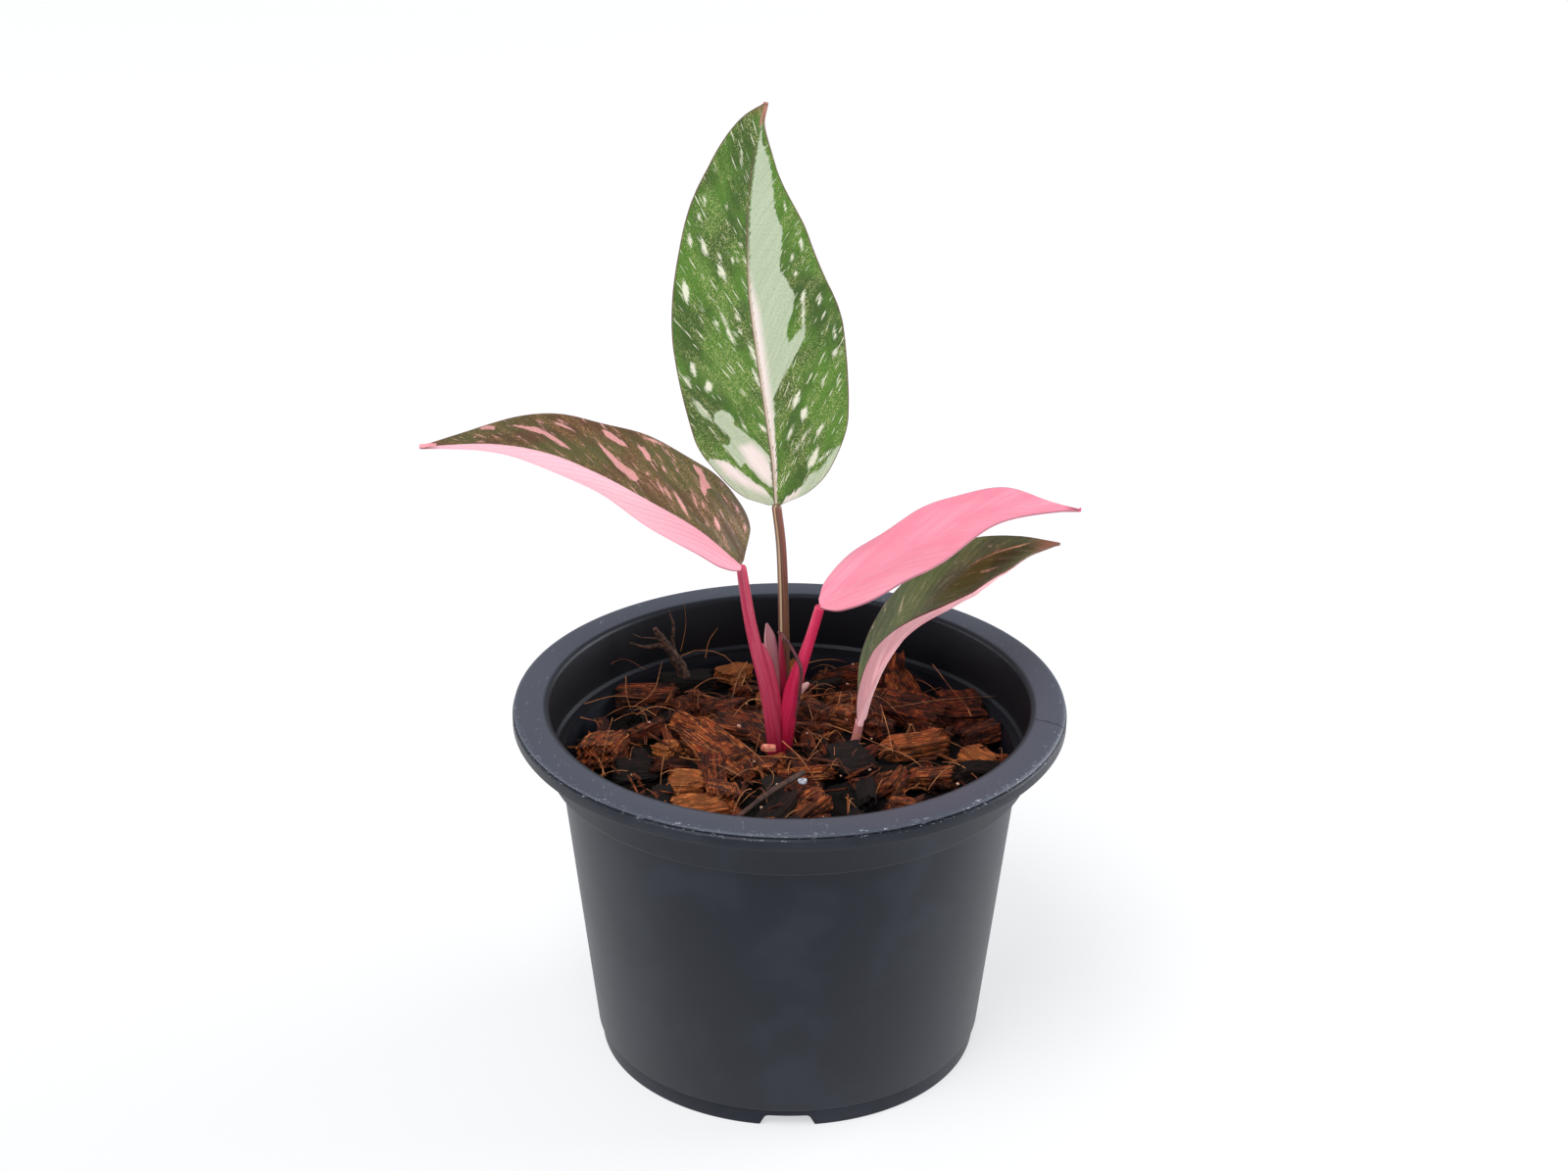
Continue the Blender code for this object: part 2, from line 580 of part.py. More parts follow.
def mix_height(x, y):
    """Height of the finer mix between the chips: domed, with lumps."""
    reach = math.hypot(x, y) / MIX_RINGS[-1]
    lumps = 1.3 * math.sin(0.21 * x + 1.0) * math.cos(0.17 * y)
    lumps += 0.8 * math.sin(0.37 * y + 0.11 * x)
    return MIX_MIDDLE + (MIX_EDGE - MIX_MIDDLE) * reach**2 + lumps


def mix_core():
    """The body of finer mix that fills the pot up to its lumpy top."""
    shoulder, foot = MIX_EDGE - MIX_SHOULDER_DROP, FLOOR_TOP + MIX_FOOT_RISE
    foot_radius = wall_radius(foot) - WALL - GAP
    rings = [(radius, None) for radius in MIX_RINGS]
    rings += [(wall_radius(shoulder) - WALL - GAP, shoulder), (foot_radius, foot),
              (foot_radius - MIX_FOOT_INSET, FLOOR_TOP + GAP)]
    points = [(0.0, 0.0, mix_height(0.0, 0.0))]
    for radius, z in rings:
        for i in range(MIX_SIDES):
            turn = 2 * math.pi * i / MIX_SIDES
            x, y = radius * math.cos(turn), radius * math.sin(turn)
            points.append((x, y, mix_height(x, y) if z is None else z))
    faces = [(0, 1 + i, 1 + (i + 1) % MIX_SIDES) for i in range(MIX_SIDES)]
    for ring in range(len(rings) - 1):
        for i in range(MIX_SIDES):
            a, b = 1 + ring * MIX_SIDES + i, 1 + ring * MIX_SIDES + (i + 1) % MIX_SIDES
            faces.append((a, a + MIX_SIDES, b))
            faces.append((b, a + MIX_SIDES, b + MIX_SIDES))
    faces.append(tuple(reversed(range(1 + (len(rings) - 1) * MIX_SIDES, 1 + len(rings) * MIX_SIDES))))
    core = new_object("potting_mix", points, faces, "husk", 20)
    face_out(core)
    return core


def chip(centre, size, turns, draw):
    """A rough block of husk, its corners drawn in or out a little."""
    yaw, pitch, roll = turns
    axes = np.array([[math.cos(yaw) * math.cos(pitch), math.sin(yaw) * math.cos(pitch), math.sin(pitch)],
                     [-math.sin(yaw), math.cos(yaw), 0.0], [0.0, 0.0, 0.0]])
    axes[2] = np.cross(axes[0], axes[1])
    side = axes[1] * math.cos(roll) + axes[2] * math.sin(roll)
    axes[2] = axes[2] * math.cos(roll) - axes[1] * math.sin(roll)
    axes[1] = side
    points = []
    for corner in CHIP_CORNERS:
        share = [draw.uniform(*CHIP_CORNER_SHARE) for _ in range(3)]
        points.append(np.array(centre) + (np.array(corner) * np.array(size) / 2 * share) @ axes)
    faces = [tri for a, b, c, d in CHIP_SIDES for tri in ((a, b, c), (a, c, d))]
    made = new_object("chip", points, faces, "husk", 20)
    face_out(made)
    return made


def husk_chips():
    """The placed chips, and others laid by seeded draws on rings round the stem, each sunk into the mix."""
    draw = random.Random(CHIP_SEED)
    chips = []
    for x, y, rise, length, width, depth, *turns in PLACED_CHIPS:
        centre = (x, y, mix_height(x, y) + rise)
        chips.append(chip(centre, (length, width, depth), [math.radians(turn) for turn in turns], draw))
    for radius, count in CHIP_RINGS:
        for i in range(count):
            turn = 2 * math.pi * (i + draw.uniform(-0.3, 0.3)) / count
            reach = radius + draw.uniform(-3.0, 3.0)
            x, y = reach * math.cos(turn), reach * math.sin(turn)
            size = [draw.uniform(*limits) for limits in (CHIP_LENGTH, CHIP_WIDTH, CHIP_DEPTH)]
            z = mix_height(x, y) + draw.uniform(-0.5, 2.2)
            turns = (draw.uniform(0.0, math.pi), draw.uniform(-0.45, 0.45), draw.uniform(-0.5, 0.5))
            if min(math.dist((x, y), placed[:2]) for placed in PLACED_CHIPS) > PLACED_CHIP_ROOM:
                chips.append(chip((x, y, z), size, turns, draw))
    return chips


def room_in_pot():
    """The space that the mix may take: the pot's inside less a clearance, open above."""
    top = RIM_TOP + 30.0
    inner = WALL_TOP_RADIUS - WALL - GAP
    neck = SHOULDER_RADIUS - WALL - 1.6
    foot = wall_radius(FLOOR_TOP + 2.0) - WALL - GAP
    ledge = SHOULDER_HEIGHT + LEDGE_RISE + GAP
    outline = (
        (0.0, top),
        (neck, top),
        (neck, ledge + 0.8),
        (inner, ledge),
        (inner - 0.2, SHOULDER_HEIGHT - 1.4),
        (foot, FLOOR_TOP + 2.0 + GAP),
        (foot - 3.5, FLOOR_TOP + GAP / 2),
        (0.0, FLOOR_TOP + GAP / 2),
    )
    return turned("room", outline, POT_SIDES, "husk")


def dark_twig(name="dark_twig", grow=0.0):
    """A forked dark twig standing in the mix at the back left."""
    limbs = [loft(name if i == 0 else f"{name}_limb", sizes, "dark_bark", grow, 8, 8)
             for i, sizes in enumerate(TWIG_LIMBS)]
    boolean(limbs[0], limbs[1:], "UNION")
    keep_largest_island(limbs[0])
    return limbs[0]


def sheathed(name, petiole, sheath, finish, grow=0.0):
    """A leaf stalk with the winged sheath at its foot, as one piece."""
    made = loft(name, petiole, finish, grow)
    boolean(made, [loft(name + "_sheath", sheath, finish, grow, 12, 12)], "UNION")
    keep_largest_island(made)
    return made


def cut_clear(obj, cutters):
    """Open the clearance between a piece and its neighbours."""
    boolean(obj, cutters, "DIFFERENCE")
    keep_largest_island(obj)
    return obj


def build_plant():
    """Blades, stalks and the young growth between them, each cut clear of the piece before it."""
    leaves = {"a": LEAF_A, "b": LEAF_B, "c": LEAF_C, "d": LEAF_D}
    made = [blade(f"blade_{letter}", leaf) for letter, leaf in leaves.items()]

    def grown_blade(letter):
        return blade("blade_cutter", leaves[letter], GAP)

    def grown_b():
        return sheathed("cutter_b", PETIOLE_B, SHEATH_B, "stalk_magenta", GAP)

    def grown_c():
        return sheathed("cutter_c", PETIOLE_C, SHEATH_C, "stalk_crimson", GAP)

    def grown(sizes):
        return loft("cutter", sizes, "stalk_brown", GAP)

    petiole_b = sheathed("petiole_b", PETIOLE_B, SHEATH_B, "stalk_magenta")
    made.append(cut_clear(petiole_b, [grown_blade("b")]))
    petiole_c = sheathed("petiole_c", PETIOLE_C, SHEATH_C, "stalk_crimson")
    made.append(cut_clear(petiole_c, [grown_blade("c"), grown_b()]))
    inner = loft("inner_sheath", INNER_SHEATH, "stalk_crimson")
    made.append(cut_clear(inner, [grown_b(), grown_c()]))
    spear = loft("spear", SPEAR, "spear_mauve")
    made.append(cut_clear(spear, [grown_b(), grown_c(), grown(INNER_SHEATH)]))
    petiole_a = loft("petiole_a", PETIOLE_A, "stalk_brown")
    neighbours = [grown_blade("a"), grown_b(), grown_c(), grown(INNER_SHEATH), grown(SPEAR)]
    made.append(cut_clear(petiole_a, neighbours))
    made.append(loft("petiole_d", PETIOLE_D, "stalk_pale"))
    stem = loft("stem_base", STEM_BASE, "stalk_brown")
    made.append(cut_clear(stem, [grown_b(), grown_c(), grown(PETIOLE_A)]))
    tendril = loft("dry_tendril", TENDRIL, "dry_brown", 0.0, 6, 18)
    made.append(cut_clear(tendril, [grown_b(), grown_c(), grown(INNER_SHEATH), grown(PETIOLE_A)]))
    return made


def build_mix():
    """The husk mix as one body, trimmed to the pot and with plain holes for what stands in it."""
    mix = mix_core()
    boolean(mix, husk_chips(), "UNION")
    boolean(mix, [room_in_pot()], "INTERSECT")
    stalks = (PETIOLE_A, PETIOLE_D, SPEAR, INNER_SHEATH, STEM_BASE, TENDRIL)
    holes = [
        sheathed("hole", PETIOLE_B, SHEATH_B, "husk", GAP),
        sheathed("hole", PETIOLE_C, SHEATH_C, "husk", GAP),
        *(loft("hole", sizes, "husk", GAP) for sizes in stalks),
        blade("hole", LEAF_D, GAP),
        dark_twig("hole", GAP),
    ]
    boolean(mix, holes, "DIFFERENCE")
    keep_largest_island(mix)
    return mix


def main():
    """Build every piece round the pot's axis, then set that axis in its place."""
    clear_scene()
    pieces = [build_pot(), build_mix(), dark_twig(), *build_plant()]
    axis = bpy.data.objects.new("pot_axis", None)
    axis.location = (POT_AXIS_X * MM, POT_AXIS_Y * MM, 0.0)
    bpy.context.scene.collection.objects.link(axis)
    for piece in pieces:
        piece.parent = axis


main()
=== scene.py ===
"""Looks of a young pink princess philodendron that stands in husk mix in a black nursery pot.

The sizes below are in millimetres from the pot's axis at table height: +X to the right of the
front view, +Y away from it, +Z up. Meshes are in metres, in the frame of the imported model.
"""

import logging
import math
import random
from collections.abc import Callable
from dataclasses import dataclass, field
from enum import Enum

import bpy
import numpy as np
from mathutils import Matrix, Vector


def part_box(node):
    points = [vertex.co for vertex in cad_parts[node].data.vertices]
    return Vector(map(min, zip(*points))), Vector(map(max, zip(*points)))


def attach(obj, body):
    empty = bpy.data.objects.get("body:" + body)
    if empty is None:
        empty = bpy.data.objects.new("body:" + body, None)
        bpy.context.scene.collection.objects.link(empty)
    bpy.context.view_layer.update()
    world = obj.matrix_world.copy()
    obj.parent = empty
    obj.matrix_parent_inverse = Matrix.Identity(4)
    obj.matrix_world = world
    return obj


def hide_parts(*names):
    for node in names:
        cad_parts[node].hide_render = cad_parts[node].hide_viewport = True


log = logging.getLogger("philodendron")

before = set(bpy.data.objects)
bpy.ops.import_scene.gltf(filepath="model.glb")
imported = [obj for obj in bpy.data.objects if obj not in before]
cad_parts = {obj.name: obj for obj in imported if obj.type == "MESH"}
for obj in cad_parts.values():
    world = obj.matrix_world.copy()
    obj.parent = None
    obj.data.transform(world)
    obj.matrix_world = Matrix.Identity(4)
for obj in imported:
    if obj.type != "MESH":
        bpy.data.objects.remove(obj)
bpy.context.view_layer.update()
POT_LOW, POT_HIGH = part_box("pot")

MM = 0.001
AXIS_X = (POT_LOW.x + POT_HIGH.x) / 2 / MM
AXIS_Y = (POT_LOW.y + POT_HIGH.y) / 2 / MM

Point = tuple[float, float, float]
Colour = tuple[float, float, float]
Piece = bpy.types.Object
Material = bpy.types.Material


def paint(red: float, green: float, blue: float) -> Colour:
    """A screen colour of 0 to 255 as the linear values that shaders take."""
    def linear(value: float) -> float:
        share = value / 255
        return share / 12.92 if share <= 0.04045 else ((share + 0.055) / 1.055) ** 2.4
    return linear(red), linear(green), linear(blue)


# Curves


def catmull(points: np.ndarray, t: np.ndarray) -> np.ndarray:
    """Points on a smooth curve through evenly spaced control points.

    Args:
        points: Control points, one a row.
        t: Parameters from 0 to 1.

    Returns:
        One row for each parameter.
    """
    points = np.asarray(points, float)
    spans = len(points) - 1
    ends = np.vstack([2 * points[0] - points[1], points, 2 * points[-1] - points[-2]])
    place = np.clip(np.asarray(t, float), 0.0, 1.0) * spans
    index = np.minimum(place.astype(int), spans - 1)
    u = (place - index)[:, None]
    a, b, c, d = ends[index], ends[index + 1], ends[index + 2], ends[index + 3]
    return 0.5 * (2 * b + (c - a) * u + (2 * a - 5 * b + 4 * c - d) * u**2
                  + (3 * b - 3 * c + d - a) * u**3)


def monotone(stations: np.ndarray, values: np.ndarray, t: np.ndarray) -> np.ndarray:
    """Values at t of a smooth curve that never overshoots its control values."""
    xs, ys = np.asarray(stations, float), np.asarray(values, float)
    step = np.diff(xs)
    slope = np.diff(ys) / step
    tangent = np.zeros_like(ys)
    tangent[0], tangent[-1] = slope[0], slope[-1]
    for i in range(1, len(xs) - 1):
        if slope[i - 1] * slope[i] > 0:
            before = (2 * step[i] + step[i - 1]) / slope[i - 1]
            after = (step[i] + 2 * step[i - 1]) / slope[i]
            tangent[i] = 3 * (step[i - 1] + step[i]) / (before + after)
    k = np.clip(np.searchsorted(xs, t, side="right") - 1, 0, len(xs) - 2)
    u = (t - xs[k]) / step[k]
    return ((1 + 2 * u) * (1 - u) ** 2 * ys[k] + u * (1 - u) ** 2 * step[k] * tangent[k]
            + u * u * (3 - 2 * u) * ys[k + 1] + u * u * (u - 1) * step[k] * tangent[k + 1])


def unit(rows: np.ndarray) -> np.ndarray:
    """Rows scaled to length one."""
    return rows / np.linalg.norm(rows, axis=-1, keepdims=True)


def tangents(points: np.ndarray, t: np.ndarray) -> np.ndarray:
    """Unit directions along a catmull curve."""
    reach = 1e-3
    return unit(catmull(points, np.minimum(t + reach, 1.0)) - catmull(points, np.maximum(t - reach, 0.0)))


def ripple(points: np.ndarray, size: float, seed: int) -> np.ndarray:
    """Smooth random relief between about -1 and 1.

    Args:
        points: Positions, one a row.
        size: Width of its lumps, in the same unit.
        seed: Which pattern it is.

    Returns:
        One value a position.
    """
    draw = np.random.default_rng(seed)
    total = np.zeros(len(points))
    for _ in range(9):
        wave = draw.normal(size=3) * 1.6 / size
        total += np.sin(points @ wave + draw.uniform(0, 2 * math.pi))
    return total / 4.0


# Modelling


class Bench:
    """The modelling operators, each used on one new piece at a time."""

    @staticmethod
    def clear() -> None:
        """Deselect all, so that an operator acts on the new piece alone."""
        if bpy.context.object and bpy.context.object.mode != "OBJECT":
            bpy.ops.object.mode_set(mode="OBJECT")
        bpy.ops.object.select_all(action="DESELECT")

    @staticmethod
    def adopt(name: str) -> Piece:
        """Name the piece that an operator has just added."""
        piece = bpy.context.active_object
        piece.name = piece.data.name = name
        return piece

    @classmethod
    def grid(cls, name: str, across: int, along: int) -> Piece:
        """A flat sheet of one metre, cut into across by along faces."""
        cls.clear()
        bpy.ops.mesh.primitive_grid_add(x_subdivisions=across, y_subdivisions=along, size=1.0,
                                        location=(0, 0, 0))
        return cls.adopt(name)

    @staticmethod
    def points(piece: Piece) -> np.ndarray:
        """The piece's vertices, one a row."""
        flat = np.empty(len(piece.data.vertices) * 3)
        piece.data.vertices.foreach_get("co", flat)
        return flat.reshape(-1, 3)

    @staticmethod
    def place(piece: Piece, rows: np.ndarray) -> None:
        """Move the piece's vertices to rows given in millimetres from the pot's axis."""
        metres = (np.asarray(rows) + (AXIS_X, AXIS_Y, 0.0)) * MM
        piece.data.vertices.foreach_set("co", metres.ravel())
        piece.data.update()

    @classmethod
    def keep_within(cls, piece: Piece, node: str) -> None:
        """Hold the piece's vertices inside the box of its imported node."""
        low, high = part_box(node)
        piece.data.vertices.foreach_set("co", np.clip(cls.points(piece), low, high).ravel())
        piece.data.update()

    @staticmethod
    def mark(piece: Piece, name: str, values: np.ndarray) -> None:
        """Store a number at each vertex for the shaders."""
        layer = piece.data.attributes.new(name, "FLOAT", "POINT")
        layer.data.foreach_set("value", np.asarray(values, np.float32).ravel())

    @staticmethod
    def mark_vector(piece: Piece, name: str, rows: np.ndarray) -> None:
        """Store a vector at each vertex for the shaders."""
        layer = piece.data.attributes.new(name, "FLOAT_VECTOR", "POINT")
        layer.data.foreach_set("vector", np.asarray(rows, np.float32).ravel())

    @classmethod
    def take(cls, piece: Piece) -> None:
        """Select one piece alone and make it the active one."""
        cls.clear()
        bpy.context.view_layer.objects.active = piece
        piece.select_set(True)

    @classmethod
    def apply(cls, piece: Piece, kind: str, settings: dict) -> None:
        """Add a modifier with these settings and apply it."""
        cls.take(piece)
        step = piece.modifiers.new(kind.lower(), kind)
        for key, value in settings.items():
            setattr(step, key, value)
        bpy.ops.object.modifier_apply(modifier=step.name)

    @classmethod
    def weld(cls, piece: Piece, distance: float) -> None:
        """Join vertices that lie on each other, and turn all faces outwards."""
        cls.take(piece)
        bpy.ops.object.mode_set(mode="EDIT")
        bpy.ops.mesh.select_all(action="SELECT")
        bpy.ops.mesh.remove_doubles(threshold=distance)
        bpy.ops.mesh.normals_make_consistent(inside=False)
        bpy.ops.object.mode_set(mode="OBJECT")

    @classmethod
    def join(cls, pieces: list[Piece], name: str) -> Piece:
        """Make one piece of several."""
        cls.clear()
        for piece in pieces:
            piece.select_set(True)
        bpy.context.view_layer.objects.active = pieces[0]
        if len(pieces) > 1:
            bpy.ops.object.join()
        return cls.adopt(name)

    @classmethod
    def smooth(cls, piece: Piece, angle: float) -> None:
        """Shade smooth, apart from edges sharper than the angle in degrees."""
        cls.take(piece)
        bpy.ops.object.shade_smooth_by_angle(angle=math.radians(angle))

    @staticmethod
    def dress(piece: Piece, *materials: Material) -> None:
        """Fill the piece's material slots in order."""
        piece.data.materials.clear()
        for material in materials:
            piece.data.materials.append(material)


def hand_over(piece: Piece, slot: str, *nodes: str) -> None:
    """Let a finished piece ride on the root body and stand for its CAD nodes."""
    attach(piece, "root")
    if nodes:
        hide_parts(*nodes)
    triangles = sum(len(face.vertices) - 2 for face in piece.data.polygons)
    log.info("%s: %d triangles, finish %s", piece.name, triangles, slot)


# Shader graphs


class Socket:
    """A shader value that takes part in plain arithmetic."""

    def __init__(self, graph: "Graph", out: bpy.types.NodeSocket) -> None:
        self.graph, self.out = graph, out

    def maths(self, operation: str, *others: "Socket | float") -> "Socket":
        """The result of a Math node on this value and the others."""
        node = self.graph.node("ShaderNodeMath", {"operation": operation}, dict(enumerate((self, *others))))
        return Socket(self.graph, node.outputs[0])

    def __add__(self, other: "Socket | float") -> "Socket":
        return self.maths("ADD", other)

    __radd__ = __add__

    def __mul__(self, other: "Socket | float") -> "Socket":
        return self.maths("MULTIPLY", other)

    def __sub__(self, other: "Socket | float") -> "Socket":
        return self.maths("SUBTRACT", other)

    def __rsub__(self, other: "Socket | float") -> "Socket":
        return (self * -1.0) + other

    def __abs__(self) -> "Socket":
        return self.maths("ABSOLUTE")

    def rise(self, low: float, high: float) -> "Socket":
        """0 below low and 1 above high, with a soft step between; low may be the larger one."""
        inputs = {"Value": self, "From Min": low, "From Max": high}
        node = self.graph.node("ShaderNodeMapRange", {"interpolation_type": "SMOOTHSTEP"}, inputs)
        return Socket(self.graph, node.outputs["Result"])

    def part(self, axis: int) -> "Socket":
        """One component of a vector."""
        node = self.graph.node("ShaderNodeSeparateXYZ", {}, {"Vector": self})
        return Socket(self.graph, node.outputs[axis])


class Graph:
    """One material's nodes, built round a Principled shader."""

    def __init__(self, name: str, roughness: float = 0.5, **constants: float) -> None:
        self.material = bpy.data.materials.new(name)
        self.material.use_nodes = True
        self.tree = self.material.node_tree
        self.shader = self.tree.nodes["Principled BSDF"]
        self.shader.inputs["Roughness"].default_value = roughness
        for key, value in constants.items():
            self.shader.inputs[key.replace("_", " ").title().replace("Ior", "IOR")].default_value = value

    def node(self, kind: str, settings: dict, inputs: dict) -> bpy.types.Node:
        """Add a node.

        Args:
            kind: Its type.
            settings: Its own properties.
            inputs: Values or sockets for its inputs, by name or index.

        Returns:
            The node.
        """
        made = self.tree.nodes.new(kind)
        for key, value in settings.items():
            setattr(made, key, value)
        for key, value in inputs.items():
            socket = made.inputs[key]
            if isinstance(value, Socket):
                self.tree.links.new(value.out, socket)
            elif isinstance(value, tuple) and len(value) == 3 and socket.type == "RGBA":
                socket.default_value = (*value, 1.0)
            else:
                socket.default_value = value
        return made

    def attribute(self, name: str) -> Socket:
        """A number stored at the vertices."""
        return Socket(self, self.node("ShaderNodeAttribute", {"attribute_name": name}, {}).outputs["Fac"])

    def attribute_vector(self, name: str) -> Socket:
        """A vector stored at the vertices."""
        node = self.node("ShaderNodeAttribute", {"attribute_name": name}, {})
        return Socket(self, node.outputs["Vector"])

    def object_mm(self) -> Socket:
        """The place on the object, in millimetres."""
        place = self.node("ShaderNodeTexCoord", {}, {}).outputs["Object"]
        return self.stretch(Socket(self, place), (1 / MM, 1 / MM, 1 / MM))

    def stretch(self, vector: Socket, scale: Point) -> Socket:
        """A vector with each part multiplied."""
        node = self.node("ShaderNodeVectorMath", {"operation": "MULTIPLY"}, {0: vector, 1: scale})
        return Socket(self, node.outputs[0])

    def vector(self, x: "Socket | float", y: "Socket | float", z: "Socket | float") -> Socket:
        """A vector from three numbers."""
        return Socket(self, self.node("ShaderNodeCombineXYZ", {}, {0: x, 1: y, 2: z}).outputs[0])

    def noise(self, vector: Socket, scale: float, detail: float = 2.0, rough: float = 0.5) -> Socket:
        """Cloudy noise from about 0.25 to 0.75."""
        inputs = {"Vector": vector, "Scale": scale, "Detail": detail, "Roughness": rough}
        return Socket(self, self.node("ShaderNodeTexNoise", {}, inputs).outputs[0])

    def drift(self, x: "Socket | float", y: "Socket | float", z: "Socket | float", detail: float = 4.0,
              rough: float = 0.5) -> Socket:
        """Noise at a place given by three numbers."""
        return self.noise(self.vector(x, y, z), 1.0, detail, rough)

    def cells(self, vector: Socket, scale: float = 1.0) -> tuple[Socket, Socket]:
        """Distance from the nearest of many scattered points, and a random number for that point."""
        node = self.node("ShaderNodeTexVoronoi", {}, {"Vector": vector, "Scale": scale})
        return Socket(self, node.outputs["Distance"]), Socket(self, node.outputs["Color"]).part(0)

    def mix(self, factor: "Socket | float", first: "Socket | Colour", second: "Socket | Colour") -> Socket:
        """A colour between two."""
        node = self.node("ShaderNodeMix", {"data_type": "RGBA", "clamp_factor": True},
                         {0: factor, 6: first, 7: second})
        return Socket(self, node.outputs[2])

    def layers(self, shade: "Socket | Colour", *coats: "tuple[Socket | float, Socket | Colour]") -> Socket:
        """A colour with others laid over it in order, each by its own factor."""
        for factor, coat in coats:
            shade = self.mix(factor, shade, coat)
        return shade

    def colour(self, value: Socket) -> None:
        """Feed the base colour."""
        self.tree.links.new(value.out, self.shader.inputs["Base Color"])

    def rough(self, value: Socket) -> None:
        """Feed the roughness."""
        self.tree.links.new(value.out, self.shader.inputs["Roughness"])

    def relief(self, height: Socket, distance_mm: float, strength: float = 1.0) -> None:
        """Feed the normal with a bump of a height in millimetres."""
        inputs = {"Height": height, "Distance": distance_mm * MM, "Strength": strength}
        bump = self.node("ShaderNodeBump", {}, inputs)
        self.tree.links.new(bump.outputs[0], self.shader.inputs["Normal"])


# Finishes


@dataclass(frozen=True)
class PotPlastic:
    """Satin moulded black plastic with pale scuffs along its rim, a rim top that is lighter partly from wear
    and partly as painted highlight, and painted shade inside above the shoulder and along its split.
    """

    wall: Colour = paint(20, 22, 30)
    # lighter colour for the rim top, partly wear and partly painted highlight; also a faint random mottle
    worn_and_highlight: Colour = paint(70, 74, 85)
    scuff: Colour = paint(196, 200, 208)
    # near black painted shade, for the inside above the shoulder and the split in the rim
    inside: Colour = paint(16, 16, 20)
    sheen: Colour = (0.80, 0.86, 1.0)
    rim_height: float = 102.8
    shoulder: float = 86.0
    inner_radius: float = 65.8
    flange_inner: float = 66.6
    edge_radius: float = 73.3
    crack_x: float = 65.7
    crack_y: float = -11.3
    crack_slope: float = 0.5

    def make(self) -> Material:
        """Build the material."""
        graph = Graph("pot_plastic", 0.42, specular_ior_level=0.30)
        graph.shader.inputs["Specular Tint"].default_value = (*self.sheen, 1.0)
        place = graph.object_mm()
        x, y, z = place.part(0) - AXIS_X, place.part(1) - AXIS_Y, place.part(2)
        reach = (x * x + y * y).maths("SQRT")
        cloud = graph.noise(place, 0.05, 3.0)
        grain = graph.noise(place, 2.2, 3.0, 0.6)
        flange = (z.rise(self.rim_height - 1.6, self.rim_height - 0.6)
                  * reach.rise(self.flange_inner - 0.6, self.flange_inner + 0.6))
        # painted shade: the inside above the shoulder is darkened to near black
        inner = (reach.rise(self.inner_radius + 0.2, self.inner_radius - 0.2)
                 * z.rise(self.shoulder - 0.4, self.shoulder + 0.4))
        marks = graph.noise(graph.stretch(place, (0.35, 1.0, 2.2)), 1.1, 5.0, 0.8).rise(0.585, 0.65)
        front = y.rise(20.0, -50.0) * 0.8 + 0.2
        near_edge = (reach.rise(self.edge_radius - 0.5, self.edge_radius + 0.5)
                     * z.rise(self.rim_height - 2.2, self.rim_height - 1.4))
        scratch = graph.noise(graph.stretch(place, (1.6, 0.25, 1.6)), 0.8, 4.0, 0.8).rise(0.64, 0.70)
        bends = (graph.noise(place, 0.6, 4.0, 0.7) - 0.5) * 2.2
        # the split in the rim is drawn as a dark line of painted shade
        split = y - self.crack_y + (x - self.crack_x) * self.crack_slope + bends
        crack = abs(split).rise(0.34, 0.14) * x.rise(65.0, 65.6)
        # the rim top gets the lighter colour, partly as wear and partly as painted highlight
        graph.colour(graph.layers(
            self.wall, (flange, self.worn_and_highlight), (cloud.rise(0.40, 0.75) * 0.16, self.worn_and_highlight),
            (inner * 0.92, self.inside), (marks * near_edge * front * 0.8, self.scuff),
            (scratch * flange * 0.35, self.scuff), (crack * flange, self.inside)))
        graph.rough(0.34 + cloud * 0.14 + grain * 0.06)
        graph.relief(grain, 0.05, 0.5)
        return graph.material


@dataclass(frozen=True)
class HuskFibre:
    """Coarse husk: long fibres in orange, brown or near black."""

    name: str
    # paler colour of the fibres, partly painted highlight
    light: Colour
    mid: Colour
    dark: Colour

    def make(self) -> Material:
        """Build the material."""
        graph = Graph(self.name, 0.82, specular_ior_level=0.3)
        grain = graph.attribute_vector("grain")
        tint = graph.attribute("tint")
        strands = graph.noise(graph.stretch(grain, (0.07, 1.7, 1.7)), 1.0, 5.0, 0.62)
        fine = graph.noise(graph.stretch(grain, (0.22, 4.6, 4.6)), 1.0, 4.0, 0.65)
        clods = graph.noise(grain, 0.30, 4.0, 0.65)
        # the light colour along the fine strands is partly the fibres' own paler strands and partly painted
        # highlight
        graph.colour(graph.layers(
            self.dark, (strands.rise(0.42, 0.54), self.mid), (fine.rise(0.50, 0.62) * 0.9, self.light),
            (fine.rise(0.44, 0.36) * 0.8, self.dark), (clods.rise(0.56, 0.42) * 0.8, self.dark),
            (tint.rise(0.50, 0.0) * 0.85, self.dark), (tint.rise(0.75, 1.0) * fine * 0.7, self.light)))
        graph.relief(strands + fine * 0.7, 1.1, 1.0)
        return graph.material


@dataclass(frozen=True)
class PlainFibre:
    """One colour with a little variation along the piece, such as straw, root or bark."""

    name: str
    base: Colour
    second: Colour
    size: float = 2.0
    roughness: float = 0.7
    bump: float = 0.15

    def make(self) -> Material:
        """Build the material."""
        graph = Graph(self.name, self.roughness)
        place = graph.object_mm()
        cloud = graph.noise(place, 1.0 / self.size, 4.0, 0.65)
        graph.colour(graph.mix(cloud.rise(0.35, 0.65), self.base, self.second))
        graph.relief(graph.noise(place, 2.4 / self.size, 4.0, 0.7), self.bump, 0.8)
        return graph.material


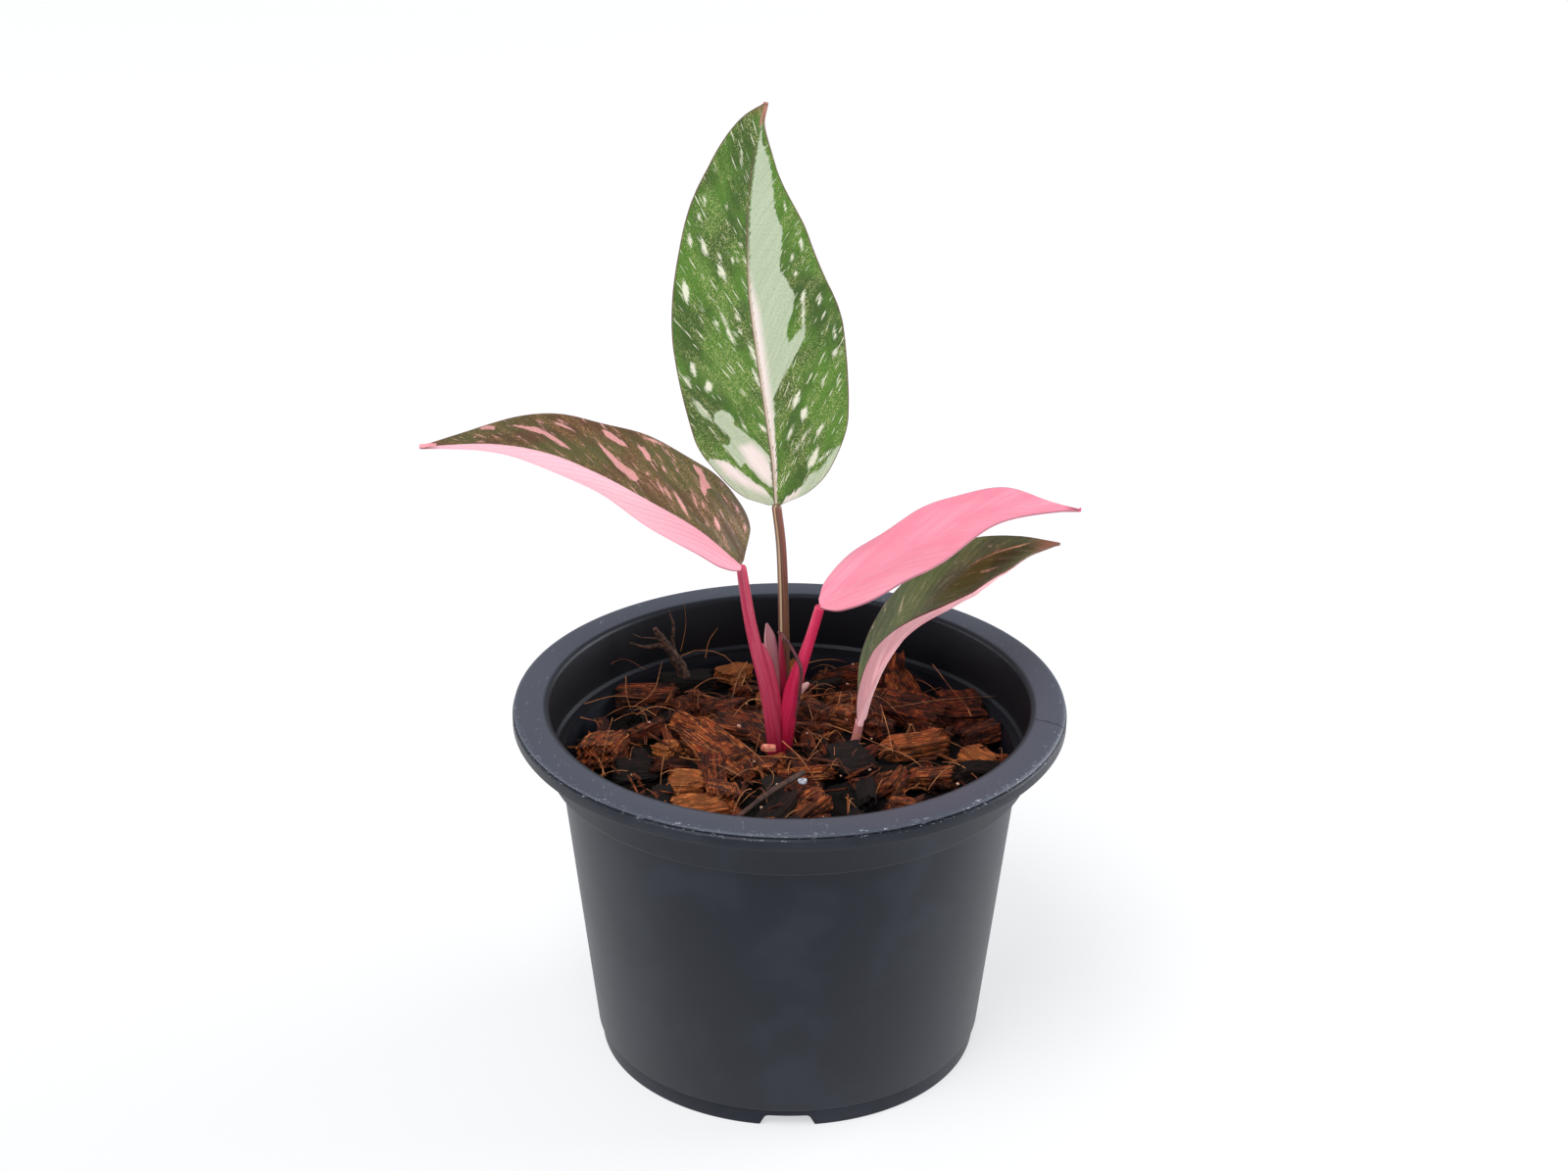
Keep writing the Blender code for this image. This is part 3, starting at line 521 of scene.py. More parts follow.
@dataclass(frozen=True)
class StalkSkin:
    """Smooth waxy skin with fine streaks along the stalk, painted shade down its two sides, darker towards
    the mix, and a pale sheath margin that is partly painted highlight.
    """

    name: str
    main: Colour
    streak: Colour
    # darker colour: towards the mix, as painted shade down the stalk's two sides, and beside the stripe
    foot: Colour
    # pale colour for the sheath margin, partly painted highlight, and for the pale stripe
    margin: Colour
    tip: Colour
    roughness: float = 0.36
    stripe: float = -1.0

    def make(self) -> Material:
        """Build the material."""
        graph = Graph(self.name, self.roughness, coat_weight=0.12, coat_roughness=0.3)
        turn, rise = graph.attribute("turn"), graph.attribute("rise")
        edge = graph.attribute("margin")
        lines = graph.drift(turn * 26.0, rise * 0.05, 0.0, 4.0, 0.6)
        cloud = graph.drift(turn * 3.0, rise * 0.09, 4.0, 3.0)
        # painted shade darkens the stalk's two sides as seen from the front; the stalk is also darker towards
        # the mix
        shade = graph.layers(
            self.main, (lines.rise(0.40, 0.68) * 0.8, self.streak), (cloud.rise(0.45, 0.7) * 0.35, self.tip),
            (abs(turn - 0.5).rise(0.30, 0.50) * 0.55, self.foot), (rise.rise(20.0, 0.0), self.foot))
        if self.stripe >= 0:
            pale = abs(turn - self.stripe + (cloud - 0.5) * 0.08).rise(0.085, 0.04)
            shadow = abs(turn - self.stripe - 0.11).rise(0.03, 0.01)
            shade = graph.layers(shade, (pale * 0.8, self.margin), (shadow * 0.7, self.foot))
        # the pale sheath margin is partly its own colour and partly painted highlight
        shade = graph.mix(edge.rise(0.45, 0.15), shade, self.margin)
        graph.colour(shade)
        graph.relief(lines, 0.12, 0.5)
        return graph.material


class LeafLook(Enum):
    """How a blade's upper face is coloured."""

    GREEN = "green"
    HALF = "half"
    PINK = "pink"


class LeafFields:
    """The values that every part of a blade's colouring reads."""

    def __init__(self, graph: Graph) -> None:
        self.across, self.along = graph.attribute("across"), graph.attribute("along")
        self.vein, self.edge = graph.attribute("vein"), graph.attribute("edge")
        self.mark, self.blush = graph.attribute("mark"), graph.attribute("blush")
        self.fleck, self.end = graph.attribute("fleck"), graph.attribute("end")
        self.out = abs(self.across)
        self.half = self.across.rise(-0.1, 0.1)
        self.lines = graph.drift(self.vein * 2.6, self.out * 0.06, 1.0 + self.half * 4.0, 4.0, 0.65)


@dataclass(frozen=True)
class LeafFace:
    """The upper face of a blade, with veins, flecks, speckles and large markings.

    Each layer of speckles holds its cells to a millimetre, its pattern and its cover. Each layer of
    fine flecks holds its cells to a millimetre and the share of them left bare.
    """

    name: str
    look: LeafLook
    main: Colour
    second: Colour
    deep: Colour
    sector: Colour
    mark: Colour
    blush: Colour
    speck: Colour
    rib: Colour
    rim: Colour
    tip: Colour
    speck_amount: float = 1.0
    ragged: float = 2.6
    rib_fade: float = 25.0
    tip_reach: float = 5.0
    deep_pink: Colour = paint(250, 140, 164)
    roughness: float = 0.42
    scatter: Point = (0.002, 0.001, 0.0006)
    speckles: tuple[Point, ...] = ((1.7, 2.0, 0.24), (2.8, 11.0, 0.34), (4.0, 17.0, 0.42))
    fine_flecks: tuple[tuple[float, float], ...] = ((0.72, 0.62), (1.15, 0.58))

    def pink(self, graph: Graph, at: LeafFields, shade: Socket) -> Socket:
        """Deeper bands and pale veins on an all pink blade."""
        bands = graph.drift(at.vein * 0.30, at.out * 0.03, at.half * 7.0, 3.0)
        return graph.layers(shade, (bands.rise(0.60, 0.40) * 0.45, self.blush),
                            (at.lines.rise(0.50, 0.72) * 0.45, self.mark),
                            (at.out.rise(0.6, 0.2) * 0.4, self.rib))

    def speckled(self, graph: Graph, at: LeafFields, shade: Socket, grit: Socket) -> Socket:
        """Dark grit, dark veins and pale speckles, crowded in some zones."""
        shade = graph.layers(shade, (grit.rise(0.54, 0.40) * 0.6, self.deep),
                             (at.lines.rise(0.50, 0.30) * 0.35, self.deep))
        zone = graph.drift(at.vein * 0.16, at.out * 0.08, 3.0 + at.half * 6.0, 2.0)
        dense = zone.rise(0.34, 0.58) * 0.6 + 0.4
        for size, seed, cover in self.speckles:
            away, pick = graph.cells(graph.vector(at.across * size, at.along * size * 0.72, seed))
            hit = (dense * cover * (pick * 0.7 + 0.5) - away).rise(0.0, 0.10)
            shade = graph.mix(hit * self.speck_amount * 0.62, shade, self.speck)
        return shade

    def marked(self, graph: Graph, at: LeafFields, shade: Socket, grit: Socket) -> Socket:
        """Fine flecks, the flecks and patches laid out on the blade, and its pink half or its rib."""
        fray = graph.drift(at.vein * 3.4, at.out * 0.7, 5.0, 5.0, 0.75) - 0.5
        for size, share in self.fine_flecks:
            away, pick = graph.cells(graph.vector(at.vein * size, at.out * size * 0.30,
                                                  size * 29.0 + at.half * 9.0))
            hit = (0.19 - away + fray * 0.8).rise(0.0, 0.03) * pick.rise(share, share + 0.01)
            shade = graph.mix(hit * self.speck_amount * 0.9, shade, self.mark)
        ragged = graph.drift(at.vein * 0.8, at.out * 0.15, at.half * 9.0, 5.0, 0.7) - 0.5
        patch = (at.mark + ragged * self.ragged + fray * 1.6 - 0.25).rise(-0.05, 0.06)
        marking = graph.layers(
            self.sector, (at.lines.rise(0.54, 0.66) * 0.5, self.mark),
            (at.lines.rise(0.46, 0.34) * 0.3, self.second), (grit.rise(0.52, 0.38) * 0.35, self.second),
            (at.blush.rise(-1.6, 0.9) * (at.lines * 0.6 + 0.6), self.blush))
        streak = (at.fleck + fray * 4.2 - 0.12).rise(-0.02, 0.04)
        shade = graph.layers(shade, (streak, self.mark), (patch, marking))
        if self.look is LeafLook.HALF:
            near = (at.across + ragged * 0.9).rise(0.15, -0.05)
            return graph.mix(near, shade, graph.mix(at.lines.rise(0.42, 0.66) * 0.35, self.blush, self.rib))
        rib = at.out.rise(0.45, 0.20) * at.end.rise(self.rib_fade, self.rib_fade + 35.0)
        # a dark line just beside the rib is painted shade in the rib's groove
        groove = abs(at.across + 0.45).rise(0.26, 0.08) * at.end.rise(0.0, 25.0)
        return graph.layers(shade, (rib * 0.85, self.rib), (groove * 0.75, self.rim))

    def make(self) -> Material:
        """Build the material."""
        graph = Graph(self.name, self.roughness, specular_ior_level=0.4, subsurface_weight=0.06)
        graph.shader.inputs["Subsurface Radius"].default_value = self.scatter
        at = LeafFields(graph)
        cloud = graph.drift(at.across * 0.085, at.along * 0.06, 7.0, 3.0)
        shade = graph.mix(cloud.rise(0.38, 0.60), self.main, self.second)
        if self.look is LeafLook.PINK:
            shade = self.pink(graph, at, shade)
        else:
            grit = graph.drift(at.across * 1.9, at.along * 1.5, 2.0, 6.0, 0.85)
            shade = self.marked(graph, at, self.speckled(graph, at, shade, grit), grit)
        shade = graph.mix(at.end.rise(self.tip_reach, 1.0) * 0.9, shade, self.tip)
        line = at.edge.rise(0.45, 0.15) * 0.85
        if self.look is LeafLook.HALF:
            line = line * (at.across.rise(-0.3, 0.3) * 0.8 + 0.2)
            base = at.across.rise(0.1, -0.1) * at.along.rise(45.0, 5.0)
            shade = graph.mix(base * 0.6, shade, self.deep_pink)
        graph.colour(graph.mix(line, shade, self.rim))
        graph.rough(self.roughness + (at.lines - 0.5) * 0.25)
        graph.relief(at.lines, 0.16, 0.5)
        return graph.material


@dataclass(frozen=True)
class LeafBack:
    """The dull underside of a blade, with a faint painted glow that stands in for light shining through it.
    """

    name: str
    main: Colour
    second: Colour
    rib: Colour
    # strength of the painted glow
    glow: float = 0.05

    def make(self) -> Material:
        """Build the material."""
        graph = Graph(self.name, 0.55, specular_ior_level=0.3, emission_strength=self.glow)
        across, vein = graph.attribute("across"), graph.attribute("vein")
        out = abs(across)
        lines = graph.drift(vein * 0.9, out * 0.05, 2.0, 4.0, 0.6)
        shade = graph.layers(self.main, (lines.rise(0.35, 0.68), self.second), (out.rise(1.2, 0.5), self.rib))
        graph.colour(shade)
        # painted glow: the underside emits its own colour, standing in for light through the blade
        graph.tree.links.new(shade.out, graph.shader.inputs["Emission Color"])
        graph.relief(lines, 0.2, 0.6)
        return graph.material


# Leaf blades

STATIONS = (0.0, 0.03, 0.10, 0.22, 0.40, 0.60, 0.78, 0.91, 1.0)
TIP_HALF_WIDTH = 0.12
FAR_OUTSIDE = -9.0


def distance_inside(points: np.ndarray, outline: tuple[tuple[float, float], ...]) -> np.ndarray:
    """Distance to a closed outline, positive inside it."""
    corners = np.asarray(outline, float)
    nearest = np.full(len(points), 1e9)
    inside = np.zeros(len(points), bool)
    for start, stop in zip(corners, np.roll(corners, -1, axis=0)):
        span = stop - start
        share = np.clip(((points - start) @ span) / max(float(span @ span), 1e-9), 0.0, 1.0)
        nearest = np.minimum(nearest, np.linalg.norm(points - (start + share[:, None] * span), axis=1))
        crosses = (start[1] > points[:, 1]) != (stop[1] > points[:, 1])
        height = span[1] if abs(span[1]) > 1e-9 else 1e-9
        side = points[:, 0] < start[0] + (points[:, 1] - start[1]) * span[0] / height
        inside ^= crosses & side
    return np.where(inside, nearest, -nearest)


def distance_streak(points: np.ndarray, streak: tuple[float, float, float, float, float]) -> np.ndarray:
    """Distance to a pointed streak from one place to another, positive inside it."""
    start, stop, half = np.array(streak[:2]), np.array(streak[2:4]), streak[4]
    span = stop - start
    share = np.clip(((points - start) @ span) / float(span @ span), 0.0, 1.0)
    away = np.linalg.norm(points - (start + share[:, None] * span), axis=1)
    return half * 1.15 * np.sin(np.pi * np.clip(share, 0.04, 0.96)) ** 0.8 - away


@dataclass
class Blade:
    """One leaf blade, with markings laid out in millimetres across and along it.

    The half widths are given at STATIONS, and each pair of slopes is in degrees, at the rib and at
    the margin. A streak holds both its ends and its half width.
    """

    name: str
    slot: str
    spine: tuple[Point, ...]
    faces: Point
    left: tuple[float, ...]
    right: tuple[float, ...]
    left_slopes: tuple[tuple[float, float], ...]
    right_slopes: tuple[tuple[float, float], ...]
    wave: float
    waves: float
    face: LeafFace
    back: LeafBack
    outlines: tuple[tuple[tuple[float, float], ...], ...] = ()
    streaks: tuple[tuple[float, float, float, float, float], ...] = ()
    blushes: tuple[tuple[tuple[float, float], ...], ...] = ()
    vein_lean: float = 1.9
    columns: int = 72
    rows: int = 150
    depth: float = 0.7
    rib_depth: float = 0.8
    rib_half: float = 0.9
    groove: float = 0.28
    vein_relief: float = 0.09
    vein_bend: float = 0.012
    vein_pitch: float = 1.05
    fade_width: float = 3.0
    groove_half: float = 0.8

    def half_section(self, width: np.ndarray, share: np.ndarray, first: np.ndarray,
                     last: np.ndarray) -> tuple[np.ndarray, np.ndarray]:
        """Offsets across and up at a share of one half, whose slope turns evenly to the margin."""
        turn = np.radians(last - first)
        turn = np.where(np.abs(turn) < 1e-4, 1e-4, turn)
        start = np.radians(first)
        across = (np.sin(start + turn * share) - np.sin(start)) / turn
        up = (np.cos(start) - np.cos(start + turn * share)) / turn
        return width * across, width * up

    def surface(self, side: np.ndarray,
                place: np.ndarray) -> tuple[np.ndarray, np.ndarray, np.ndarray]:
        """The blade's middle surface.

        Args:
            side: -1 at the left margin, 0 on the rib and 1 at the right margin.
            place: 0 at the base and 1 at the tip.

        Returns:
            Points, the half width at each, and the length along the rib, in millimetres.
        """
        spine, along = catmull(self.spine, place), tangents(self.spine, place)
        right = unit(np.cross(along, np.asarray(self.faces, float)))
        up = np.cross(right, along)
        sign = np.where(side < 0, -1.0, 1.0)
        share = np.abs(side)
        width = np.where(side < 0, monotone(STATIONS, (*self.left, TIP_HALF_WIDTH), place),
                         monotone(STATIONS, (*self.right, TIP_HALF_WIDTH), place))

        def slope(end: int) -> np.ndarray:
            left, right = (np.interp(place, np.linspace(0, 1, len(table)), [pair[end] for pair in table])
                           for table in (self.left_slopes, self.right_slopes))
            return np.where(side < 0, left, right)

        across, lift = self.half_section(width, share, slope(0), slope(1))
        swell = np.sin(2 * np.pi * self.waves * place + sign) * share**2 * np.sin(np.pi * place)
        lift = lift + self.wave * swell
        dense = np.linspace(0, 1, 400)
        steps = np.linalg.norm(np.diff(catmull(self.spine, dense), axis=0), axis=1)
        length = np.interp(place, dense, np.concatenate([[0.0], np.cumsum(steps)]))
        points = spine + right * (sign * across)[:, None] + up * lift[:, None]
        return points, width, length

    def normals(self, side: np.ndarray, place: np.ndarray) -> np.ndarray:
        """Unit normals of the middle surface, on its upper side."""
        step = 1e-3
        wide = (self.surface(np.minimum(side + step, 1.0), place)[0]
                - self.surface(np.maximum(side - step, -1.0), place)[0])
        tall = (self.surface(side, np.minimum(place + step, 1.0))[0]
                - self.surface(side, np.maximum(place - step, 0.0))[0])
        return unit(np.cross(wide, tall))

    def build(self) -> None:
        """Shape a sheet to the blade, raise its veins, and give it thickness and a rib."""
        sheet = Bench.grid(self.name, self.columns, self.rows)
        flat = Bench.points(sheet)
        side = np.clip(flat[:, 0] * 2, -1, 1)
        even = np.clip(flat[:, 1] + 0.5, 0, 1)
        place = 0.7 * even + 0.3 * (0.5 - 0.5 * np.cos(np.pi * even))
        middle, width, length = self.surface(side, place)
        normal = self.normals(side, place)
        across = side * width
        out = np.abs(across)
        vein = length - out * self.vein_lean + self.vein_bend * out**2
        fade = np.clip(out / self.fade_width, 0, 1) * np.clip((width - out) / self.fade_width, 0, 1)
        lift = self.vein_relief * np.sin(vein * self.vein_pitch + np.sign(side)) * fade
        lift -= self.groove * np.exp(-(out / self.groove_half) ** 2) * np.clip(1.2 - place, 0, 1)
        edge = (1.0 - np.abs(side)) * width
        Bench.place(sheet, middle + normal * (self.depth / 2 + lift)[:, None])
        here = np.column_stack([across, length])

        def nearest(distance: Callable, shapes: tuple) -> np.ndarray:
            rows = [np.full(len(here), FAR_OUTSIDE), *(distance(here, shape) for shape in shapes)]
            return np.max(rows, axis=0)

        mark = nearest(distance_inside, self.outlines)
        fleck = nearest(distance_streak, self.streaks)
        blush = nearest(distance_inside, self.blushes)
        total = float(length.max())
        for key, values in (("across", across), ("along", length), ("vein", vein), ("edge", edge),
                            ("mark", mark), ("fleck", fleck), ("blush", blush), ("end", total - length)):
            Bench.mark(sheet, key, values)
        thick = self.depth + self.rib_depth
        weight = self.depth * (0.6 + 0.4 * np.clip(edge / 2.0, 0, 1))
        weight = weight + self.rib_depth * (1 - 0.7 * place) * np.exp(-(out / self.rib_half) ** 2)
        group = sheet.vertex_groups.new(name="thick")
        for index, value in enumerate(weight / thick):
            group.add((index,), float(value), "REPLACE")
        Bench.dress(sheet, self.face.make(), self.back.make())
        Bench.apply(sheet, "SOLIDIFY", {"thickness": thick * MM, "offset": -1.0, "vertex_group": "thick",
                                        "material_offset": 1, "use_even_offset": False,
                                        "use_quality_normals": True})
        Bench.keep_within(sheet, self.name)
        Bench.smooth(sheet, 55.0)
        hand_over(sheet, self.slot, self.name)


# Stalks

MIX_TOP = 84.0

@dataclass
class Tube:
    """A tapering round or flattened stalk along a path, rounded over 1 / caps of it at each end."""

    path: tuple[Point, ...]
    radii: tuple[float, ...]
    depths: tuple[float, ...] = ()
    sides: int = 28
    rows: int = 60
    step_turn: float = -1.0
    step_slope: float = 0.0
    step: float = 0.0
    ribs: float = 0.0
    rib_count: int = 14
    rough: float = 0.0
    lumps: float = 2.0
    seed: int = 1
    caps: float = 40.0

    def build(self, name: str) -> Piece:
        """Wrap a sheet round the path, with rounded ends.

        Args:
            name: Name of the new piece.

        Returns:
            The closed tube, with its turn, rise and margin marked.
        """
        sheet = Bench.grid(name, self.sides, self.rows)
        flat = Bench.points(sheet)
        turn = np.clip(flat[:, 0] + 0.5, 0, 1)
        even = np.clip(flat[:, 1] + 0.5, 0, 1)
        t = 0.5 - 0.5 * np.cos(np.pi * even) if self.rows > 12 else even
        t = 0.65 * even + 0.35 * t
        stops = np.linspace(0.0, 1.0, len(self.radii))
        wide = monotone(stops, self.radii, t)
        deep = wide if not self.depths else monotone(stops, self.depths, t)
        centre, along = catmull(self.path, t), tangents(self.path, t)
        across = unit(np.cross(along, np.array((0.0, 1.0, 0.0))))
        toward = np.cross(across, along)
        angle = 2 * np.pi * turn
        close = np.ones(len(t))
        for reach in (even, 1 - even):
            close = close * np.sqrt(np.clip(1 - (1 - np.clip(reach * self.caps, 0, 1)) ** 2, 0, 1))
        ring = np.ones(len(t))
        away = np.full(len(t), 9.0)
        if self.step_turn >= 0:
            line = self.step_turn + self.step_slope * t
            past = (turn - line) % 1.0
            ring = ring + self.step * np.exp(-past * 5.0)
            away = np.minimum(past, 1.0 - past) * 2 * np.pi * wide
        ring = ring + self.ribs * np.sin(angle * self.rib_count + t * 2.0)
        points = centre + across * (np.cos(angle) * wide * ring * close)[:, None]
        points = points + toward * (np.sin(angle) * deep * ring * close)[:, None]
        if self.rough:
            outward = across * np.cos(angle)[:, None] + toward * np.sin(angle)[:, None]
            relief = ripple(points * (1.0, 1.0, 0.45), self.lumps, self.seed)
            relief = relief + 0.6 * ripple(points, self.lumps * 0.45, self.seed + 5)
            points = points + outward * (relief * self.rough * close)[:, None]
        Bench.place(sheet, points)
        Bench.mark(sheet, "turn", np.minimum(turn, 1.0 - turn) * 2)
        Bench.mark(sheet, "rise", points[:, 2] - MIX_TOP)
        Bench.mark(sheet, "margin", away)
        Bench.weld(sheet, 2e-6)
        Bench.smooth(sheet, 60.0)
        return sheet


@dataclass
class Stalk:
    """A leaf stalk, with its sheath where it has one."""

    name: str
    slot: str
    tubes: tuple[Tube, ...]
    skin: StalkSkin | PlainFibre

    def build(self) -> None:
        """Build its tubes as one piece."""
        made = [tube.build(f"{self.name}_{i}") for i, tube in enumerate(self.tubes)]
        stalk = Bench.join(made, self.name)
        Bench.dress(stalk, self.skin.make())
        hand_over(stalk, self.slot, self.name)


# Pot


@dataclass
class NurseryPot:
    """The moulded pot, made as one ring of edges drawn out along its half outline."""

    sides: int = 180
    rim_radius: float = 75.0
    rim_top: float = 102.8
    rim_inner: float = 65.8
    shoulder_radius: float = 66.0
    shoulder: float = 85.6
    wall_top: float = 62.4
    wall_foot: float = 53.4
    wall: float = 1.4
    foot_radius: float = 52.3
    foot: float = 5.0
    floor_top: float = 6.2
    notch_height: float = 3.2
    notch_half: float = 6.8
    notch_draw: float = 0.9
    notch_flare: float = 2.4
    notch_depth: float = 4.6
    notches: int = 4
    drain_radius: float = 4.5
    drain_circle: float = 33.0
    drains: int = 6
    plastic: PotPlastic = field(default_factory=PotPlastic)

    def outline(self) -> tuple[tuple[float, float], ...]:
        """Radius and height down the inside, from the floor up, over the rim and down the outside."""
        top, rim, neck = self.rim_top, self.rim_radius, self.shoulder_radius + 0.6
        skirt = top - 4.8
        ledge = self.shoulder + 1.2
        return (
            (self.wall_foot - self.wall - 2.0, self.floor_top),
            (self.wall_foot - self.wall, self.floor_top + 2.0),
            (self.wall_top - self.wall, self.shoulder - 1.0),
            (self.wall_top - self.wall + 0.5, ledge),
            (self.shoulder_radius - self.wall - 0.8, ledge + 0.2),
            (self.shoulder_radius - self.wall, ledge + 1.0),
            (self.rim_inner - 0.7, top - 1.2),
            (self.rim_inner - 0.4, top - 0.5),
            (self.rim_inner + 0.2, top - 0.1),
            (self.rim_inner + 0.9, top),
            (rim - 1.9, top),
            (rim - 1.1, top - 0.12),
            (rim - 0.5, top - 0.45),
            (rim - 0.3, top - 0.8),
            (rim - 0.75, top - 1.05),
            (rim - 0.8, top - 1.3),
            (rim - 0.3, top - 1.5),
            (rim, top - 1.9),
            (rim, skirt + 0.4),
            (rim - 0.2, skirt + 0.1),
            (rim - 0.6, skirt),
            (rim - 1.5, skirt),
            (rim - 1.7, top - 2.5),
            (rim - 2.6, top - 1.7),
            (neck + 0.6, top - 1.7),
            (neck, top - 2.5),
            (self.shoulder_radius, self.shoulder + 0.8),
            (self.shoulder_radius - 0.3, self.shoulder + 0.2),
            (self.shoulder_radius - 0.8, self.shoulder),
            (self.wall_top + 0.7, self.shoulder - 0.5),
            (self.wall_top + 0.1, self.shoulder - 1.0),
            (self.wall_top, self.shoulder - 1.8),
            (self.wall_foot + 0.1, self.foot + 0.9),
            (self.wall_foot - 0.3, self.foot + 0.3),
            (self.foot_radius, self.foot),
            (self.foot_radius, 0.6),
            (self.foot_radius - 0.15, 0.15),
            (self.foot_radius - 0.5, 0.0),
            (self.foot_radius - 2.6, 0.0),
            (self.foot_radius - 2.9, self.floor_top - self.wall - 0.4),
            (self.foot_radius - 3.6, self.floor_top - self.wall),
        )

    def draw_out(self) -> Piece:
        """Extrude a filled circle ring by ring along the outline, and fill the last ring."""
        Bench.clear()
        (radius, height), *others = self.outline()
        bpy.ops.mesh.primitive_circle_add(vertices=self.sides, radius=radius * MM, fill_type="NGON",
                                          location=(0, 0, height * MM))
        pot = Bench.adopt("pot_shell")
        bpy.ops.object.transform_apply(location=True, rotation=False, scale=False)
        bpy.ops.object.mode_set(mode="EDIT")
        bpy.ops.mesh.select_mode(type="EDGE")
        bpy.ops.mesh.select_all(action="SELECT")
        bpy.ops.mesh.region_to_loop()
        for next_radius, next_height in others:
            lift = (0.0, 0.0, (next_height - height) * MM)
            bpy.ops.mesh.extrude_edges_move(TRANSFORM_OT_translate={"value": lift})
            grow = next_radius / radius
            bpy.ops.transform.resize(value=(grow, grow, 1.0), center_override=(0.0, 0.0, next_height * MM))
            radius, height = next_radius, next_height
        bpy.ops.mesh.edge_face_add()
        bpy.ops.mesh.select_all(action="SELECT")
        bpy.ops.mesh.normals_make_consistent(inside=False)
        bpy.ops.object.mode_set(mode="OBJECT")
        return pot

    def cutters(self) -> Piece:
        """Flared blocks for the foot notches and rods for the drain holes."""
        made = []
        for i in range(self.notches):
            turn = 2 * math.pi * i / self.notches
            Bench.clear()
            bpy.ops.mesh.primitive_cube_add(size=1.0)
            block = Bench.adopt("notch")
            rows = Bench.points(block)
            top = rows[:, 2] > 0
            half = np.where(top, self.notch_half - self.notch_draw, self.notch_half + self.notch_flare)
            rows = np.column_stack([np.sign(rows[:, 0]) * half,
                                    np.sign(rows[:, 1]) * self.notch_depth - self.foot_radius + 0.6,
                                    np.where(top, self.notch_height, -3.0)])
            swing = np.array(Matrix.Rotation(turn, 3, "Z"))
            block.data.vertices.foreach_set("co", (rows @ swing.T * MM).ravel())
            Bench.apply(block, "BEVEL", {"width": 0.0009, "segments": 3, "limit_method": "ANGLE"})
            made.append(block)
        for i in range(self.drains):
            turn = 2 * math.pi * (i + 0.5) / self.drains
            Bench.clear()
            spot = (self.drain_circle * math.cos(turn) * MM, self.drain_circle * math.sin(turn) * MM,
                    self.floor_top * MM)
            bpy.ops.mesh.primitive_cylinder_add(vertices=40, radius=self.drain_radius * MM, depth=0.012,
                                                location=spot)
            bpy.ops.object.transform_apply(location=True)
            made.append(Bench.adopt("drain"))
        return Bench.join(made, "pot_cutters")

    def build(self) -> None:
        """Draw the shell, cut it, and move it to its axis."""
        pot = self.draw_out()
        cutters = self.cutters()
        Bench.apply(pot, "BOOLEAN", {"operation": "DIFFERENCE", "solver": "EXACT", "object": cutters})
        bpy.data.objects.remove(cutters)
        Bench.place(pot, Bench.points(pot) / MM)
        pot.name = pot.data.name = "nursery_pot"
        Bench.dress(pot, self.plastic.make())
        Bench.smooth(pot, 35.0)
        hand_over(pot, "pot_plastic", "pot")


# Husk mix

CORNER_SIGNS = np.array([(-1, -1, -1), (1, -1, -1), (1, 1, -1), (-1, 1, -1), (-1, -1, 1), (1, -1, 1),
                         (1, 1, 1), (-1, 1, 1)])
INNER_WALL_FOOT, INNER_WALL_LEAN = 51.1, 0.1142


def scattered(draw: random.Random, reach: float) -> tuple[float, float]:
    """A place drawn evenly over a disc of this radius."""
    radius, turn = reach * math.sqrt(draw.random()), draw.uniform(0, 2 * math.pi)
    return radius * math.cos(turn), radius * math.sin(turn)


